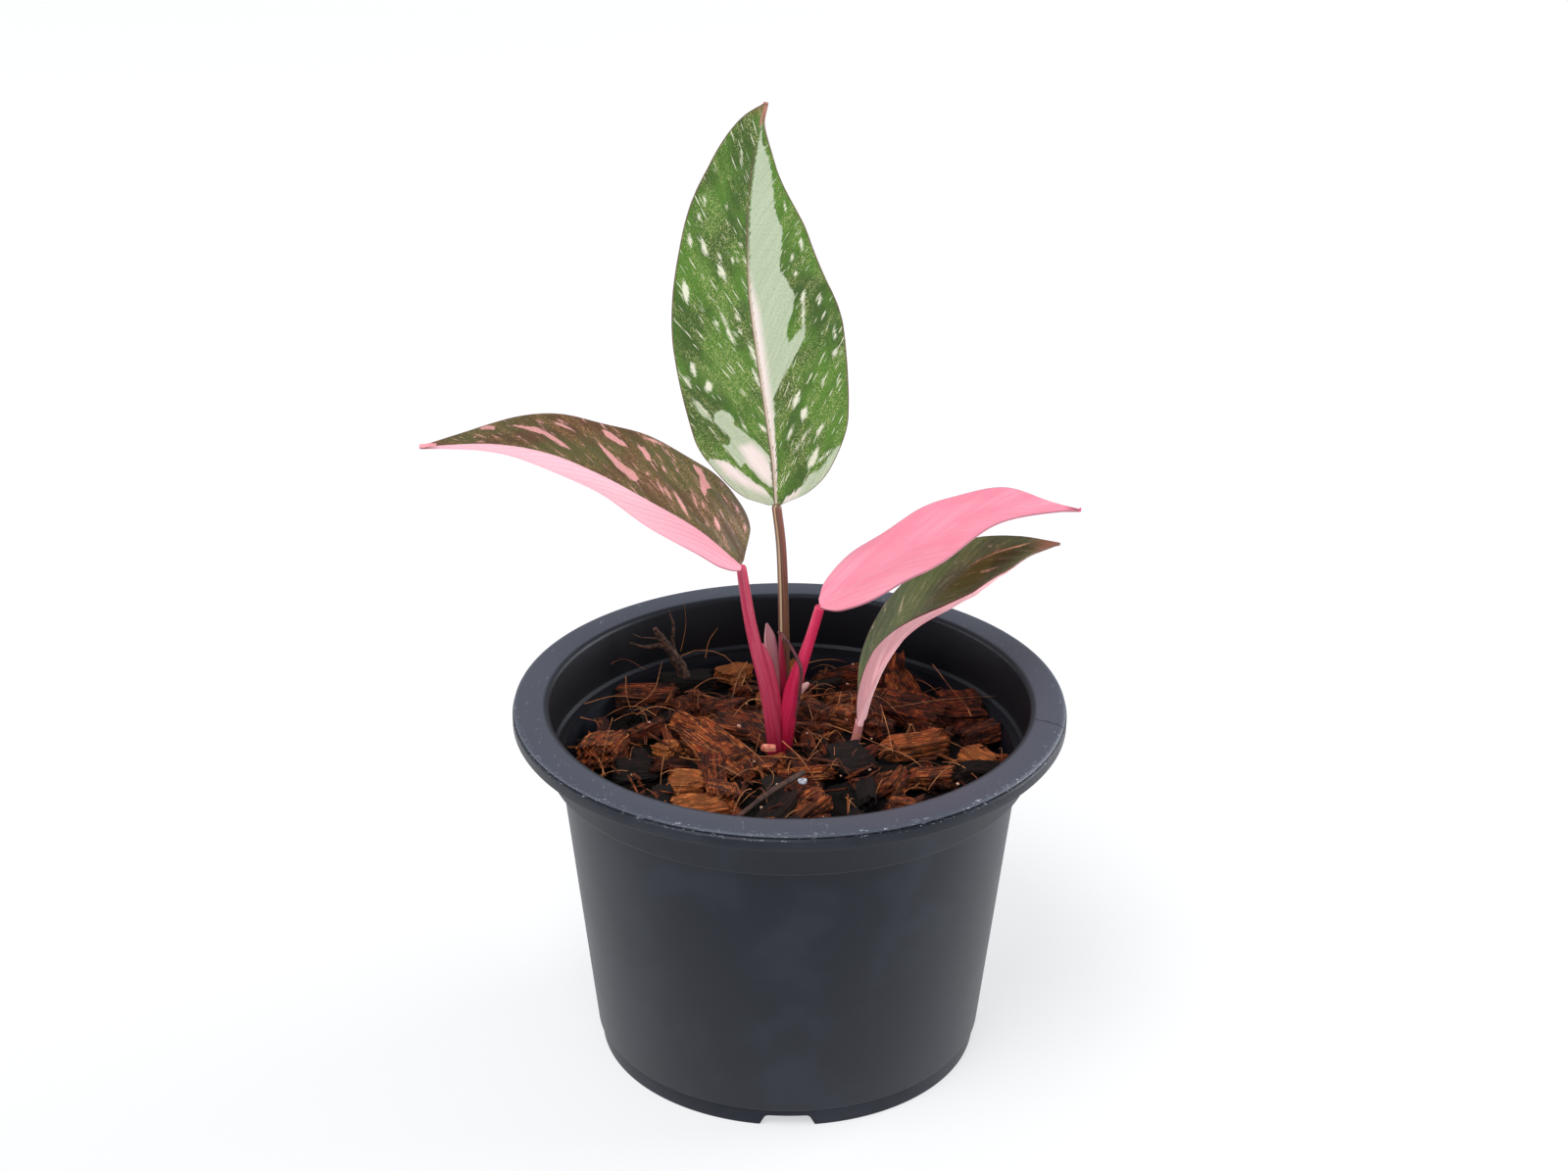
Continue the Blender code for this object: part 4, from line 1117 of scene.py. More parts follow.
@dataclass
class HuskMix:
    """The bed of fine mix, near black partly in its own colour and partly as painted shade between the chips;
    the chips that lie in it, loose fibres and small bits.
    """

    middle: float = 85.5
    edge: float = 82.0
    reach: float = 57.0
    bed_radius: float = 60.6
    bed_depth: float = 70.0
    bed_taper: float = 0.875
    bed_floor: float = 7.5
    seed: int = 11
    chip_rings: tuple[tuple[float, int], ...] = ((11.0, 6), (21.0, 10), (31.5, 14), (42.0, 18), (53.0, 24))
    lengths: tuple[float, float] = (8.0, 16.0)
    widths: tuple[float, float] = (5.0, 9.0)
    depths: tuple[float, float] = (3.5, 6.0)
    corner_share: tuple[float, float] = (0.82, 1.12)
    placed_room: float = 7.5
    placed_cuts: int = 18
    seeded_cuts: int = 12
    chip_soften: float = 0.015
    chip_slim: float = 0.90
    split_relief: float = 0.17
    lump_relief: float = 0.09
    fray_relief: float = 0.20
    pattern_step: float = 37.0
    placed: tuple[tuple[float, ...], ...] = (
        (-18.8, -1.5, 2.2, 24.0, 11.0, 6.5, -38.0, -16.0, 12.0),
        (-13.5, 14.0, 1.5, 13.0, 9.5, 5.0, -20.0, -6.0, 14.0),
        (-27.5, -14.5, 1.2, 10.0, 7.5, 5.0, -8.0, 4.0, 16.0),
        (-24.0, -31.5, 1.5, 15.0, 9.0, 6.0, 6.0, 6.0, 14.0),
        (35.0, 4.5, 2.0, 17.0, 6.5, 5.0, 8.0, 4.0, 10.0),
        (-42.0, -7.5, 1.2, 11.0, 9.0, 5.0, 12.0, 0.0, 16.0),
        (16.4, -3.5, 1.0, 12.0, 10.0, 4.5, 30.0, -8.0, 18.0),
        (-50.5, 1.0, 2.6, 14.0, 11.0, 6.5, 72.0, -10.0, -12.0),
        (-41.0, 36.0, 2.4, 16.0, 7.0, 6.0, 2.0, 0.0, 14.0),
        (34.0, 26.0, 2.0, 21.0, 8.5, 5.5, -24.0, -4.0, 14.0),
        (49.0, 27.5, 2.6, 12.5, 11.0, 5.5, 10.0, 2.0, 18.0),
        (29.0, 45.0, 4.0, 13.0, 7.0, 5.0, 80.0, 68.0, 0.0),
    )
    placed_tints: tuple[float, ...] = (0.75, 0.45, 0.95, 0.9, 0.85, 0.1, 0.15, 0.6, 0.35, 0.5, 0.4, 0.55)
    fibres: tuple[tuple[Point, ...], ...] = (
        ((-55.5, 36.0, 90.0), (-48.0, 42.0, 93.5), (-40.5, 40.0, 91.0)),
        ((-43.5, 17.0, 91.0), (-38.0, 24.0, 92.5), (-36.0, 34.0, 96.5)),
        ((-46.0, 30.0, 94.0), (-45.5, 23.0, 92.0), (-44.0, 16.0, 91.0)),
        ((-57.0, 18.0, 91.5), (-48.5, 20.0, 93.0), (-39.5, 21.0, 91.5)),
        ((-48.5, 6.0, 93.5), (-49.5, -3.0, 92.5), (-50.5, -13.0, 90.0)),
        ((-57.5, 9.0, 92.0), (-51.0, 2.0, 94.0)),
        ((-31.0, 45.0, 93.0), (-25.5, 44.0, 95.5), (-17.5, 40.0, 95.0), (-10.5, 27.0, 91.0)),
        ((-12.0, 38.0, 95.0), (-14.5, 31.0, 93.5), (-16.0, 24.0, 90.5)),
        ((-9.5, 12.5, 92.0), (-6.5, 4.0, 91.5), (-4.0, -4.0, 89.5)),
        ((-8.0, 0.0, 92.0), (-9.0, -8.0, 91.5), (-10.5, -16.0, 89.5)),
        ((-4.5, -18.5, 91.0), (-4.5, -24.0, 90.0), (-9.0, -31.0, 88.5)),
        ((-29.5, -2.5, 92.0), (-26.5, -7.0, 91.5), (-24.0, -12.0, 90.0)),
        ((-34.0, 7.0, 91.0), (-33.0, 0.5, 90.0)),
        ((-31.0, 44.0, 95.0), (-29.5, 45.0, 103.0), (-30.0, 45.5, 110.0)),
        ((-24.0, 44.0, 93.0), (-23.0, 44.5, 98.0), (-20.5, 45.0, 102.0)),
        ((22.0, 36.0, 92.0), (25.0, 37.0, 97.0), (24.5, 37.5, 103.5)),
        ((40.0, 30.0, 98.5), (45.0, 24.0, 94.0), (50.0, 18.0, 90.5)),
        ((28.0, 13.0, 93.5), (42.0, 15.0, 95.0), (57.0, 17.0, 95.2)),
        ((25.0, 10.0, 96.0), (27.0, 2.0, 92.0), (28.0, -6.0, 89.5)),
        ((10.0, 8.0, 91.0), (18.0, -2.0, 93.0), (32.0, -9.0, 90.0)),
        ((-2.0, -6.0, 93.0), (3.0, -14.0, 92.0), (8.0, -24.0, 89.0)),
        ((-14.0, -6.0, 93.5), (-8.0, -14.0, 92.0), (-4.0, -20.0, 90.0)),
    )
    loose_fibres: int = 150
    fibre_radius: float = 0.11
    grains: int = 34

    def height(self, x: np.ndarray, y: np.ndarray) -> np.ndarray:
        """Height of the fine mix between the chips."""
        lumps = 1.3 * np.sin(0.21 * x + 1.0) * np.cos(0.17 * y) + 0.8 * np.sin(0.37 * y + 0.11 * x)
        return self.middle + (self.edge - self.middle) * (np.hypot(x, y) / self.reach) ** 2 + lumps

    @staticmethod
    def lay(piece: Piece, look: HuskFibre | PlainFibre, angle: float) -> None:
        """Dress a piece of the mix, shade it smooth up to the angle in degrees, and hand it over."""
        Bench.dress(piece, look.make())
        Bench.smooth(piece, angle)
        hand_over(piece, "husk", "potting_mix")

    def bed(self) -> None:
        """The body of fine mix: a crumbly top drawn down to the pot's floor."""
        sheet = Bench.grid("fine_mix", 150, 150)
        flat = Bench.points(sheet)[:, :2] * 2
        largest = np.max(np.abs(flat), axis=1)
        round_off = largest / np.maximum(np.hypot(flat[:, 0], flat[:, 1]), 1e-9)
        disc = flat * round_off[:, None] * self.bed_radius
        x, y = disc[:, 0], disc[:, 1]
        rim = np.clip((self.bed_radius - np.hypot(x, y)) / 4.0, 0, 1)
        spots = np.column_stack([x, y, np.zeros(len(x))])
        crumbs = 1.3 * np.abs(ripple(spots, 2.4, 3)) + 0.7 * np.abs(ripple(spots, 0.9, 8))
        z = self.height(x, y) - 3.4 + crumbs * rim - 0.6 * (1 - rim)
        Bench.place(sheet, np.column_stack([x, y, z]))
        Bench.take(sheet)
        bpy.ops.object.mode_set(mode="EDIT")
        bpy.ops.mesh.select_all(action="SELECT")
        bpy.ops.mesh.region_to_loop()
        bpy.ops.mesh.extrude_edges_move(TRANSFORM_OT_translate={"value": (0, 0, -self.bed_depth * MM)})
        bpy.ops.transform.resize(value=(self.bed_taper, self.bed_taper, 0.0),
                                 center_override=(AXIS_X * MM, AXIS_Y * MM, self.bed_floor * MM))
        bpy.ops.mesh.edge_face_add()
        bpy.ops.mesh.select_all(action="SELECT")
        bpy.ops.mesh.normals_make_consistent(inside=False)
        bpy.ops.object.mode_set(mode="OBJECT")
        where = Bench.points(sheet) / MM
        Bench.mark_vector(sheet, "grain", where)
        # the fine mix is coloured near black, partly its own dark colour and partly painted shade in the gaps
        # between the chips
        Bench.mark(sheet, "tint", np.full(len(where), 0.22))
        self.lay(sheet, HuskFibre("fine_mix", paint(56, 26, 14), paint(22, 10, 7), paint(6, 4, 3)), 50.0)

    def chip_frames(self) -> list[tuple[np.ndarray, np.ndarray, float]]:
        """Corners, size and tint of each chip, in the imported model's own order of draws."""
        draw = random.Random(self.seed)
        tints = random.Random(self.seed + 1)

        def corners(centre: Point, size: tuple[float, ...], turns: tuple[float, ...]) -> np.ndarray:
            yaw, pitch, roll = turns
            axes = np.array([[math.cos(yaw) * math.cos(pitch), math.sin(yaw) * math.cos(pitch),
                              math.sin(pitch)], [-math.sin(yaw), math.cos(yaw), 0.0], [0.0, 0.0, 0.0]])
            axes[2] = np.cross(axes[0], axes[1])
            side = axes[1] * math.cos(roll) + axes[2] * math.sin(roll)
            axes[2] = axes[2] * math.cos(roll) - axes[1] * math.sin(roll)
            axes[1] = side
            rows = []
            for sign in CORNER_SIGNS:
                share = [draw.uniform(*self.corner_share) for _ in range(3)]
                rows.append(np.array(centre) + (sign * np.array(size) / 2 * share) @ axes)
            return np.array(rows)

        found = []
        for (x, y, rise, *numbers), tint in zip(self.placed, self.placed_tints):
            centre, size = (x, y, float(self.height(x, y)) + rise), tuple(numbers[:3])
            angles = tuple(math.radians(turn) for turn in numbers[3:])
            found.append((corners(centre, size, angles), np.array(size), tint))
        for radius, count in self.chip_rings:
            for i in range(count):
                turn = 2 * math.pi * (i + draw.uniform(-0.3, 0.3)) / count
                reach = radius + draw.uniform(-3.0, 3.0)
                x, y = reach * math.cos(turn), reach * math.sin(turn)
                size = tuple(draw.uniform(*limits) for limits in (self.lengths, self.widths, self.depths))
                z = float(self.height(x, y)) + draw.uniform(-0.5, 2.2)
                turns = (draw.uniform(0.0, math.pi), draw.uniform(-0.45, 0.45), draw.uniform(-0.5, 0.5))
                if min(math.dist((x, y), spot[:2]) for spot in self.placed) > self.placed_room:
                    tint = tints.choice((0.05, 0.2, 0.35, 0.5, 0.6, 0.75, 0.95))
                    found.append((corners((x, y, z), size, turns), np.array(size), tint))
        return found

    def chip(self, corners: np.ndarray, size: np.ndarray, tint: float, number: int,
             cuts: int) -> Piece:
        """One chip: a block cut fine, with ridged sides and frayed ends along its fibres."""
        Bench.clear()
        bpy.ops.mesh.primitive_cube_add(size=2.0)
        block = Bench.adopt(f"chip_{number}")
        bpy.ops.object.mode_set(mode="EDIT")
        bpy.ops.mesh.subdivide(number_cuts=cuts)
        bpy.ops.object.mode_set(mode="OBJECT")
        cube = Bench.points(block)
        soft = cube * (1.0 - self.chip_soften * (np.sum(cube**2, axis=1, keepdims=True) - 1.0))
        local = soft * size / 2
        shift = number * self.pattern_step
        length, width, depth = local.T
        strands = ripple(np.column_stack([length * 0.10, width + shift, depth]), 1.0, 21)
        coarse = ripple(np.column_stack([length * 0.25, width + shift, depth]), 3.2, 22)
        frayed = ripple(np.column_stack([np.sign(cube[:, 0]) * 9, width * 1.3 + shift, depth * 1.3]), 1.1, 23)
        side = np.clip(1.0 - np.abs(cube[:, 0]) ** 8 * 0.4, 0, 1)
        splits = np.clip(np.abs(strands) * 1.6, 0, 1) ** 0.6
        grow = self.chip_slim + self.split_relief * splits * side + self.lump_relief * coarse
        stretch = 1.0 + self.fray_relief * frayed * np.abs(cube[:, 0]) ** 6
        shaped = soft * np.column_stack([stretch, grow, grow])
        weights = np.prod(1 + CORNER_SIGNS * shaped[:, None, :], axis=2) / 8
        Bench.place(block, self.hold_in(weights @ corners))
        Bench.mark_vector(block, "grain", local + (0.0, shift, 0.0))
        Bench.mark(block, "tint", np.full(len(local), tint))
        return block

    @staticmethod
    def hold_in(rows: np.ndarray) -> np.ndarray:
        """Rows drawn in to the pot's inner wall."""
        wall = INNER_WALL_FOOT + INNER_WALL_LEAN * rows[:, 2]
        share = np.minimum(1.0, wall / np.maximum(np.hypot(rows[:, 0], rows[:, 1]), 1e-6))
        return rows * np.column_stack([share, share, np.ones(len(rows))])

    def chips(self) -> None:
        """All chips, joined into one piece for each of three colours."""
        warm, brown, dark = [], [], []
        for number, (corners, size, tint) in enumerate(self.chip_frames()):
            cuts = self.placed_cuts if number < len(self.placed) else self.seeded_cuts
            made = self.chip(corners, size, tint, number, cuts)
            (warm if tint > 0.55 else brown if tint > 0.25 else dark).append(made)
        for blocks, name, *colours in (
                (warm, "warm", (240, 146, 76), (160, 66, 28), (40, 13, 7)),
                (brown, "brown", (206, 108, 54), (114, 42, 20), (26, 9, 7)),
                (dark, "dark", (96, 54, 38), (44, 22, 16), (13, 7, 6))):
            look = HuskFibre(f"{name}_husk", *(paint(*colour) for colour in colours))
            self.lay(Bench.join(blocks, f"{name}_chips"), look, 38.0)

    def bits(self, name: str, count: int, seed: int, ranges: tuple[tuple[float, float], ...],
             rises: tuple[float, float], cuts: int, look: HuskFibre) -> None:
        """Seeded broken pieces over the bed, joined.

        Args:
            name: Name of the joined piece.
            count: How many.
            seed: Which arrangement.
            ranges: Least and greatest length, width and depth.
            rises: Least and greatest height of a middle above the mix.
            cuts: How finely each is cut.
            look: Its finish.
        """
        draw = random.Random(self.seed + seed)
        made = []
        for number in range(count):
            x, y = scattered(draw, self.reach + 0.5)
            size = np.array([draw.uniform(*limits) for limits in ranges])
            z = float(self.height(x, y)) + draw.uniform(*rises)
            swing = Matrix.Rotation(draw.uniform(0, math.pi), 3, "Z") @ Matrix.Rotation(
                draw.uniform(-0.7, 0.7), 3, "Y") @ Matrix.Rotation(draw.uniform(-0.8, 0.8), 3, "X")
            shares = np.array([[draw.uniform(0.7, 1.1) for _ in range(3)] for _ in range(8)])
            corners = (CORNER_SIGNS * shares * size / 2) @ np.array(swing).T + (x, y, z)
            made.append(self.chip(corners, size, draw.uniform(0.1, 1.0), 500 * seed + number, cuts))
        self.lay(Bench.join(made, name), look, 38.0)

    def fibre_lines(self) -> list[np.ndarray]:
        """Points along each loose fibre: the ones that stand out, then seeded ones."""
        steps = np.linspace(0, 1, 9)
        lines = [catmull(np.array(line), steps) for line in self.fibres]
        draw = random.Random(self.seed + 9)
        for _ in range(self.loose_fibres):
            x, y = scattered(draw, self.reach)
            length, heading = draw.uniform(5.0, 18.0), draw.uniform(0, 2 * math.pi)
            bend, hump = draw.uniform(-0.45, 0.45), draw.uniform(0.3, 3.0)
            angle = heading + bend * steps * 2
            px = x + np.cumsum(np.cos(angle)) * length / len(steps)
            py = y + np.cumsum(np.sin(angle)) * length / len(steps)
            limit = np.minimum(1.0, (self.reach + 1.0) / np.maximum(np.hypot(px, py), 1e-6))
            px, py = px * limit, py * limit
            pz = self.height(px, py) + 1.6 + draw.uniform(0.0, 2.4) + hump * np.sin(np.pi * steps)
            lines.append(np.column_stack([px, py, pz]))
        return lines

    def loose(self) -> None:
        """Thin coir fibres, each a bevelled curve made into mesh."""
        draw = random.Random(self.seed + 10)
        curve = bpy.data.curves.new("coir_fibres", "CURVE")
        curve.dimensions = "3D"
        curve.bevel_depth = self.fibre_radius * MM
        curve.bevel_resolution = 1
        curve.use_fill_caps = True
        for line in self.fibre_lines():
            spline = curve.splines.new("POLY")
            spline.points.add(len(line) - 1)
            girth = draw.uniform(0.6, 1.35)
            for i, (point, (x, y, z)) in enumerate(zip(spline.points, line)):
                point.co = ((x + AXIS_X) * MM, (y + AXIS_Y) * MM, z * MM, 1.0)
                point.radius = girth * (1.0 - 0.55 * i / (len(line) - 1))
        piece = bpy.data.objects.new("coir_fibres", curve)
        bpy.context.scene.collection.objects.link(piece)
        Bench.take(piece)
        bpy.ops.object.convert(target="MESH")
        straw = PlainFibre("straw", paint(196, 132, 78), paint(140, 74, 38), 6.0, 0.6, 0.03)
        self.lay(Bench.adopt("coir_fibres"), straw, 60.0)

    def small_bits(self) -> None:
        """The pale root nub by the stem, a dark curved root and a few pale grains."""
        nub = Tube(((1.2, 23.0, 91.6), (2.4, 23.6, 92.6), (4.0, 24.2, 94.0), (5.4, 24.6, 95.2)),
                   (0.7, 1.1, 1.0, 0.4), sides=20, rows=24, rough=0.06, lumps=1.2).build("root_nub")
        Bench.dress(nub, PlainFibre("pale_root", paint(226, 176, 172), paint(206, 140, 140), 2.0, 0.5).make())
        hand_over(nub, "husk", "potting_mix")
        root = Tube(((4.0, -18.0, 90.0), (0.0, -24.0, 90.6), (-6.0, -30.0, 89.6), (-14.0, -38.0, 87.0)),
                    (0.9, 0.8, 0.75, 0.5), sides=12, rows=30, rough=0.1, lumps=1.0).build("dark_root")
        Bench.dress(root, PlainFibre("root_bark", paint(48, 32, 28), paint(84, 56, 46), 1.5, 0.8).make())
        hand_over(root, "husk", "potting_mix")
        Bench.clear()
        bpy.ops.mesh.primitive_uv_sphere_add(segments=24, ring_count=16, radius=1.0)
        bead = Bench.adopt("glassy_bead")
        rows = Bench.points(bead)
        rows = rows * (1.3, 1.1, 1.0) * (1 + 0.10 * ripple(rows, 0.7, 33)[:, None])
        Bench.place(bead, rows + (3.5, -24.0, 90.4))
        # the bead's pale patches are painted glints
        self.lay(bead, PlainFibre("glassy", paint(70, 76, 96), paint(214, 220, 232), 0.7, 0.08), 60.0)
        size = np.array((3.6, 2.6, 1.8))
        shard = self.chip(CORNER_SIGNS * size / 2 * (1.0, 0.8, 0.7) + (-5.6, -8.0, 92.0), size, 0.9, 990, 6)
        pink = PlainFibre("pink_shard", paint(226, 150, 128), paint(186, 92, 70), 1.2, 0.6)
        Bench.dress(shard, pink.make())
        shard.name = shard.data.name = "pink_shard"
        hand_over(shard, "husk", "potting_mix")
        draw = random.Random(self.seed + 20)
        grains = []
        for _ in range(self.grains):
            x, y = scattered(draw, self.reach - 1.0)
            Bench.clear()
            bpy.ops.mesh.primitive_ico_sphere_add(subdivisions=2, radius=1.0)
            grain = Bench.adopt("grain")
            rows = Bench.points(grain)
            girth = draw.uniform(0.25, 0.6)
            spot = (x, y, float(self.height(x, y)) + draw.uniform(1.6, 3.6))
            Bench.place(grain, rows * girth * (1 + 0.2 * ripple(rows, 0.8, 31)[:, None]) + spot)
            grains.append(grain)
        pale = PlainFibre("pale_grain", paint(224, 190, 168), paint(196, 132, 104), 0.8, 0.45)
        self.lay(Bench.join(grains, "pale_grains"), pale, 60.0)

    def build(self) -> None:
        """Build the bed and all that lies in it."""
        self.bed()
        self.chips()
        self.bits("brown_bits", 90, 4, ((5.0, 11.0), (2.2, 4.2), (1.4, 2.8)), (-1.2, 1.4), 6,
                  HuskFibre("bit_husk", paint(176, 86, 42), paint(92, 34, 17), paint(26, 10, 7)))
        self.bits("splinters", 260, 5, ((3.5, 11.0), (0.35, 1.0), (0.3, 0.8)), (-0.4, 4.2), 2,
                  HuskFibre("splinter_husk", paint(204, 116, 58), paint(124, 54, 26), paint(44, 17, 10)))
        self.loose()
        self.small_bits()


@dataclass
class Twig:
    """The forked dark twig, with thin side fibres."""

    limbs: tuple[Tube, ...] = (
        Tube(((-25.0, 42.0, 74.0), (-29.4, 42.0, 86.5), (-32.3, 42.0, 93.5), (-35.6, 42.0, 99.0),
              (-38.4, 42.0, 103.5)), (1.6, 1.7, 1.5, 1.2, 0.45), sides=26, rows=90, rough=0.22, lumps=1.3),
        Tube(((-33.8, 42.0, 96.5), (-36.8, 41.4, 98.1), (-40.8, 41.2, 97.7), (-45.6, 41.6, 98.9)),
             (0.9, 0.75, 0.5, 0.25), sides=14, rows=50, rough=0.12, lumps=0.9, seed=3),
        Tube(((-32.0, 42.0, 93.5), (-33.2, 42.8, 98.5), (-33.0, 43.0, 104.0), (-34.4, 43.0, 108.5)),
             (0.7, 0.5, 0.35, 0.2), sides=12, rows=50, rough=0.08, lumps=0.9, seed=4),
        Tube(((-35.0, 42.0, 98.0), (-38.0, 41.0, 100.5), (-42.0, 40.6, 101.0), (-44.5, 40.6, 102.2)),
             (0.35, 0.3, 0.22, 0.15), sides=10, rows=30, rough=0.04, lumps=0.9, seed=5),
    )

    def build(self) -> None:
        """Build the limbs as one piece."""
        twig = Bench.join([limb.build(f"limb_{i}") for i, limb in enumerate(self.limbs)], "twig")
        # the twig's lighter patches are partly bark tone and partly painted highlight
        bark = PlainFibre("twig_bark_and_highlight", paint(20, 14, 14), paint(98, 66, 52), 1.1, 0.85, 0.5)
        Bench.dress(twig, bark.make())
        hand_over(twig, "dark_bark", "dark_twig")


# Stage


@dataclass
class Stage:
    """Pale floor, soft light and the camera; lamps are placed and sized in metres, with watts."""

    distance: float = 862.3943
    tilt: float = 0.4404
    aim_x: float = -1.7259
    aim_z: float = 136.673
    roll: float = 0.0058
    lens: float = 74.25
    floor_base: Colour = (0.34, 0.345, 0.355)
    floor_white: Colour = (0.985, 0.99, 1.0)
    floor_glow: float = 0.58
    sky: Colour = (0.95, 0.97, 1.0)
    sky_strength: float = 0.5
    sun_towards: Point = (0.45, 0.75, -1.4)
    sun_strength: float = 2.0
    sun_spread: float = 34.0
    lamps: tuple[tuple[str, Point, float, float], ...] = (
        ("right_softbox", (1.15, 0.40, 0.35), 0.9, 15.0),
        ("low_fill", (0.80, -0.80, 0.14), 0.5, 2.5),
        ("left_softbox", (-1.25, 0.20, 0.35), 0.9, 7.0),
    )

    def floor(self) -> None:
        """A large plain floor."""
        Bench.clear()
        bpy.ops.mesh.primitive_plane_add(size=6.0, location=(0, 0, 0))
        floor = Bench.adopt("floor")
        graph = Graph("floor", 0.7, emission_strength=self.floor_glow)
        graph.shader.inputs["Base Color"].default_value = (*self.floor_base, 1.0)
        graph.shader.inputs["Emission Color"].default_value = (*self.floor_white, 1.0)
        Bench.dress(floor, graph.material)

    def light(self, name: str, spot: Point, size: float, watts: float) -> None:
        """A soft square light, turned to the plant."""
        lamp = bpy.data.lights.new(name, "AREA")
        lamp.size, lamp.energy = size, watts
        holder = bpy.data.objects.new(name, lamp)
        holder.location = spot
        holder.rotation_euler = (Vector((0, 0, 0.12)) - Vector(spot)).to_track_quat("-Z", "Y").to_euler()
        bpy.context.scene.collection.objects.link(holder)

    def camera(self) -> None:
        """The camera at the picture's own viewing angle."""
        data = bpy.data.cameras.new("camera")
        data.lens = self.lens
        data.sensor_width = 36.0
        data.clip_start, data.clip_end = 0.05, 50.0
        camera = bpy.data.objects.new("camera", data)
        bpy.context.scene.collection.objects.link(camera)
        spot = Vector((self.aim_x + AXIS_X, -self.distance * math.cos(self.tilt),
                       self.aim_z + self.distance * math.sin(self.tilt))) * MM
        turn = Matrix.Rotation(math.pi / 2 - self.tilt, 4, "X") @ Matrix.Rotation(self.roll, 4, "Z")
        camera.matrix_world = Matrix.Translation(spot) @ turn
        bpy.context.scene.camera = camera

    def daylight(self) -> None:
        """An even soft light over the whole floor."""
        lamp = bpy.data.lights.new("daylight", "SUN")
        lamp.energy, lamp.angle = self.sun_strength, math.radians(self.sun_spread)
        holder = bpy.data.objects.new("daylight", lamp)
        holder.rotation_euler = Vector(self.sun_towards).to_track_quat("-Z", "Y").to_euler()
        bpy.context.scene.collection.objects.link(holder)

    def build(self) -> None:
        """Set the stage."""
        self.floor()
        self.daylight()
        for name, spot, size, watts in self.lamps:
            self.light(name, spot, size, watts)
        world = bpy.data.worlds.new("studio")
        world.use_nodes = True
        backdrop = world.node_tree.nodes["Background"]
        backdrop.inputs["Color"].default_value = (*self.sky, 1.0)
        backdrop.inputs["Strength"].default_value = self.sky_strength
        bpy.context.scene.world = world
        bpy.context.scene.view_settings.view_transform = "Standard"
        self.camera()


# The plant

GREEN_FACE = LeafFace("green_face", LeafLook.GREEN, main=paint(64, 94, 30), second=paint(88, 132, 40),
                      deep=paint(42, 62, 22), sector=paint(184, 196, 168), mark=paint(226, 226, 202),
                      blush=paint(244, 228, 224), speck=paint(196, 200, 132), rib=paint(214, 194, 178),
                      rim=paint(112, 80, 72), tip=paint(126, 104, 62))
GREEN_BACK = LeafBack("green_back", paint(118, 116, 84), paint(136, 100, 88), paint(170, 120, 104))
OLIVE_FACE = LeafFace("olive_face", LeafLook.HALF, main=paint(92, 64, 38), second=paint(86, 84, 42),
                      deep=paint(58, 38, 24), sector=paint(214, 150, 148), mark=paint(224, 162, 158),
                      blush=paint(253, 192, 206), speck=paint(186, 142, 92), rib=paint(255, 214, 222),
                      rim=paint(122, 90, 88), tip=paint(120, 48, 46), ragged=1.4, tip_reach=7.0)
OLIVE_BACK = LeafBack("olive_back", paint(206, 128, 134), paint(150, 86, 80), paint(226, 150, 156))
PINK_FACE = LeafFace("pink_face", LeafLook.PINK, main=paint(247, 138, 162), second=paint(250, 152, 174),
                     deep=paint(240, 120, 140), sector=paint(255, 190, 200), mark=paint(255, 176, 192),
                     blush=paint(242, 122, 150), speck=paint(255, 190, 200), rib=paint(250, 150, 168),
                     rim=paint(168, 108, 122), tip=paint(160, 32, 62))
PINK_BACK = LeafBack("pink_back", paint(236, 120, 144), paint(244, 146, 166), paint(230, 104, 132))
DARK_FACE = LeafFace("dark_face", LeafLook.GREEN, main=paint(72, 90, 30), second=paint(98, 122, 46),
                     deep=paint(54, 62, 22), sector=paint(238, 202, 152), mark=paint(206, 196, 156),
                     blush=paint(238, 202, 152), speck=paint(176, 160, 96), rib=paint(206, 156, 112),
                     rim=paint(110, 74, 66), tip=paint(176, 112, 84), speck_amount=0.6,
                     ragged=0.5, rib_fade=200.0, tip_reach=10.0)
# this underside has the strongest painted glow
DARK_BACK = LeafBack("dark_back", paint(252, 192, 198), paint(246, 172, 182), paint(253, 200, 206), glow=0.22)

SECTOR = ((-0.2, 104.7), (1.4, 96.8), (3.7, 92.4), (5.5, 87.6), (6.8, 79.8), (9.0, 73.7), (8.9, 69.3),
          (8.3, 63.1), (10.0, 60.2), (12.0, 55.7), (10.6, 50.7), (8.7, 45.8), (8.7, 43.1), (13.7, 47.6),
          (13.1, 43.5), (10.2, 39.5), (7.2, 35.0), (4.2, 30.5), (2.8, 28.4), (1.8, 20.0), (1.0, 8.0),
          (0.4, 0.5), (0.0, 0.5), (0.0, 104.7))
LOWER_LEFT = ((-18.7, 32.1), (-16.0, 28.3), (-14.0, 25.2), (-13.8, 27.2), (-11.4, 27.8), (-9.3, 26.7),
              (-8.2, 24.7), (-8.7, 23.3), (-5.9, 20.6), (-2.8, 16.8), (-0.8, 13.6), (-0.5, 10.3),
              (-0.5, 4.0), (-3.7, 6.3), (-5.8, 9.5), (-7.5, 12.0), (-8.9, 10.7), (-10.7, 14.4),
              (-12.2, 17.2), (-14.2, 18.9), (-11.4, 18.1), (-10.7, 19.3), (-12.3, 21.9), (-14.2, 24.2),
              (-16.9, 26.7), (-19.0, 31.0))
BASE_LEFT = ((-16.7, 16.0), (-15.3, 14.8), (-12.6, 14.0), (-9.2, 10.7), (-6.3, 7.9), (-2.9, 4.7),
             (-0.5, 2.0), (-0.2, 0.0), (-4.1, 0.0), (-9.0, 1.5), (-14.0, 6.0), (-18.0, 13.0))
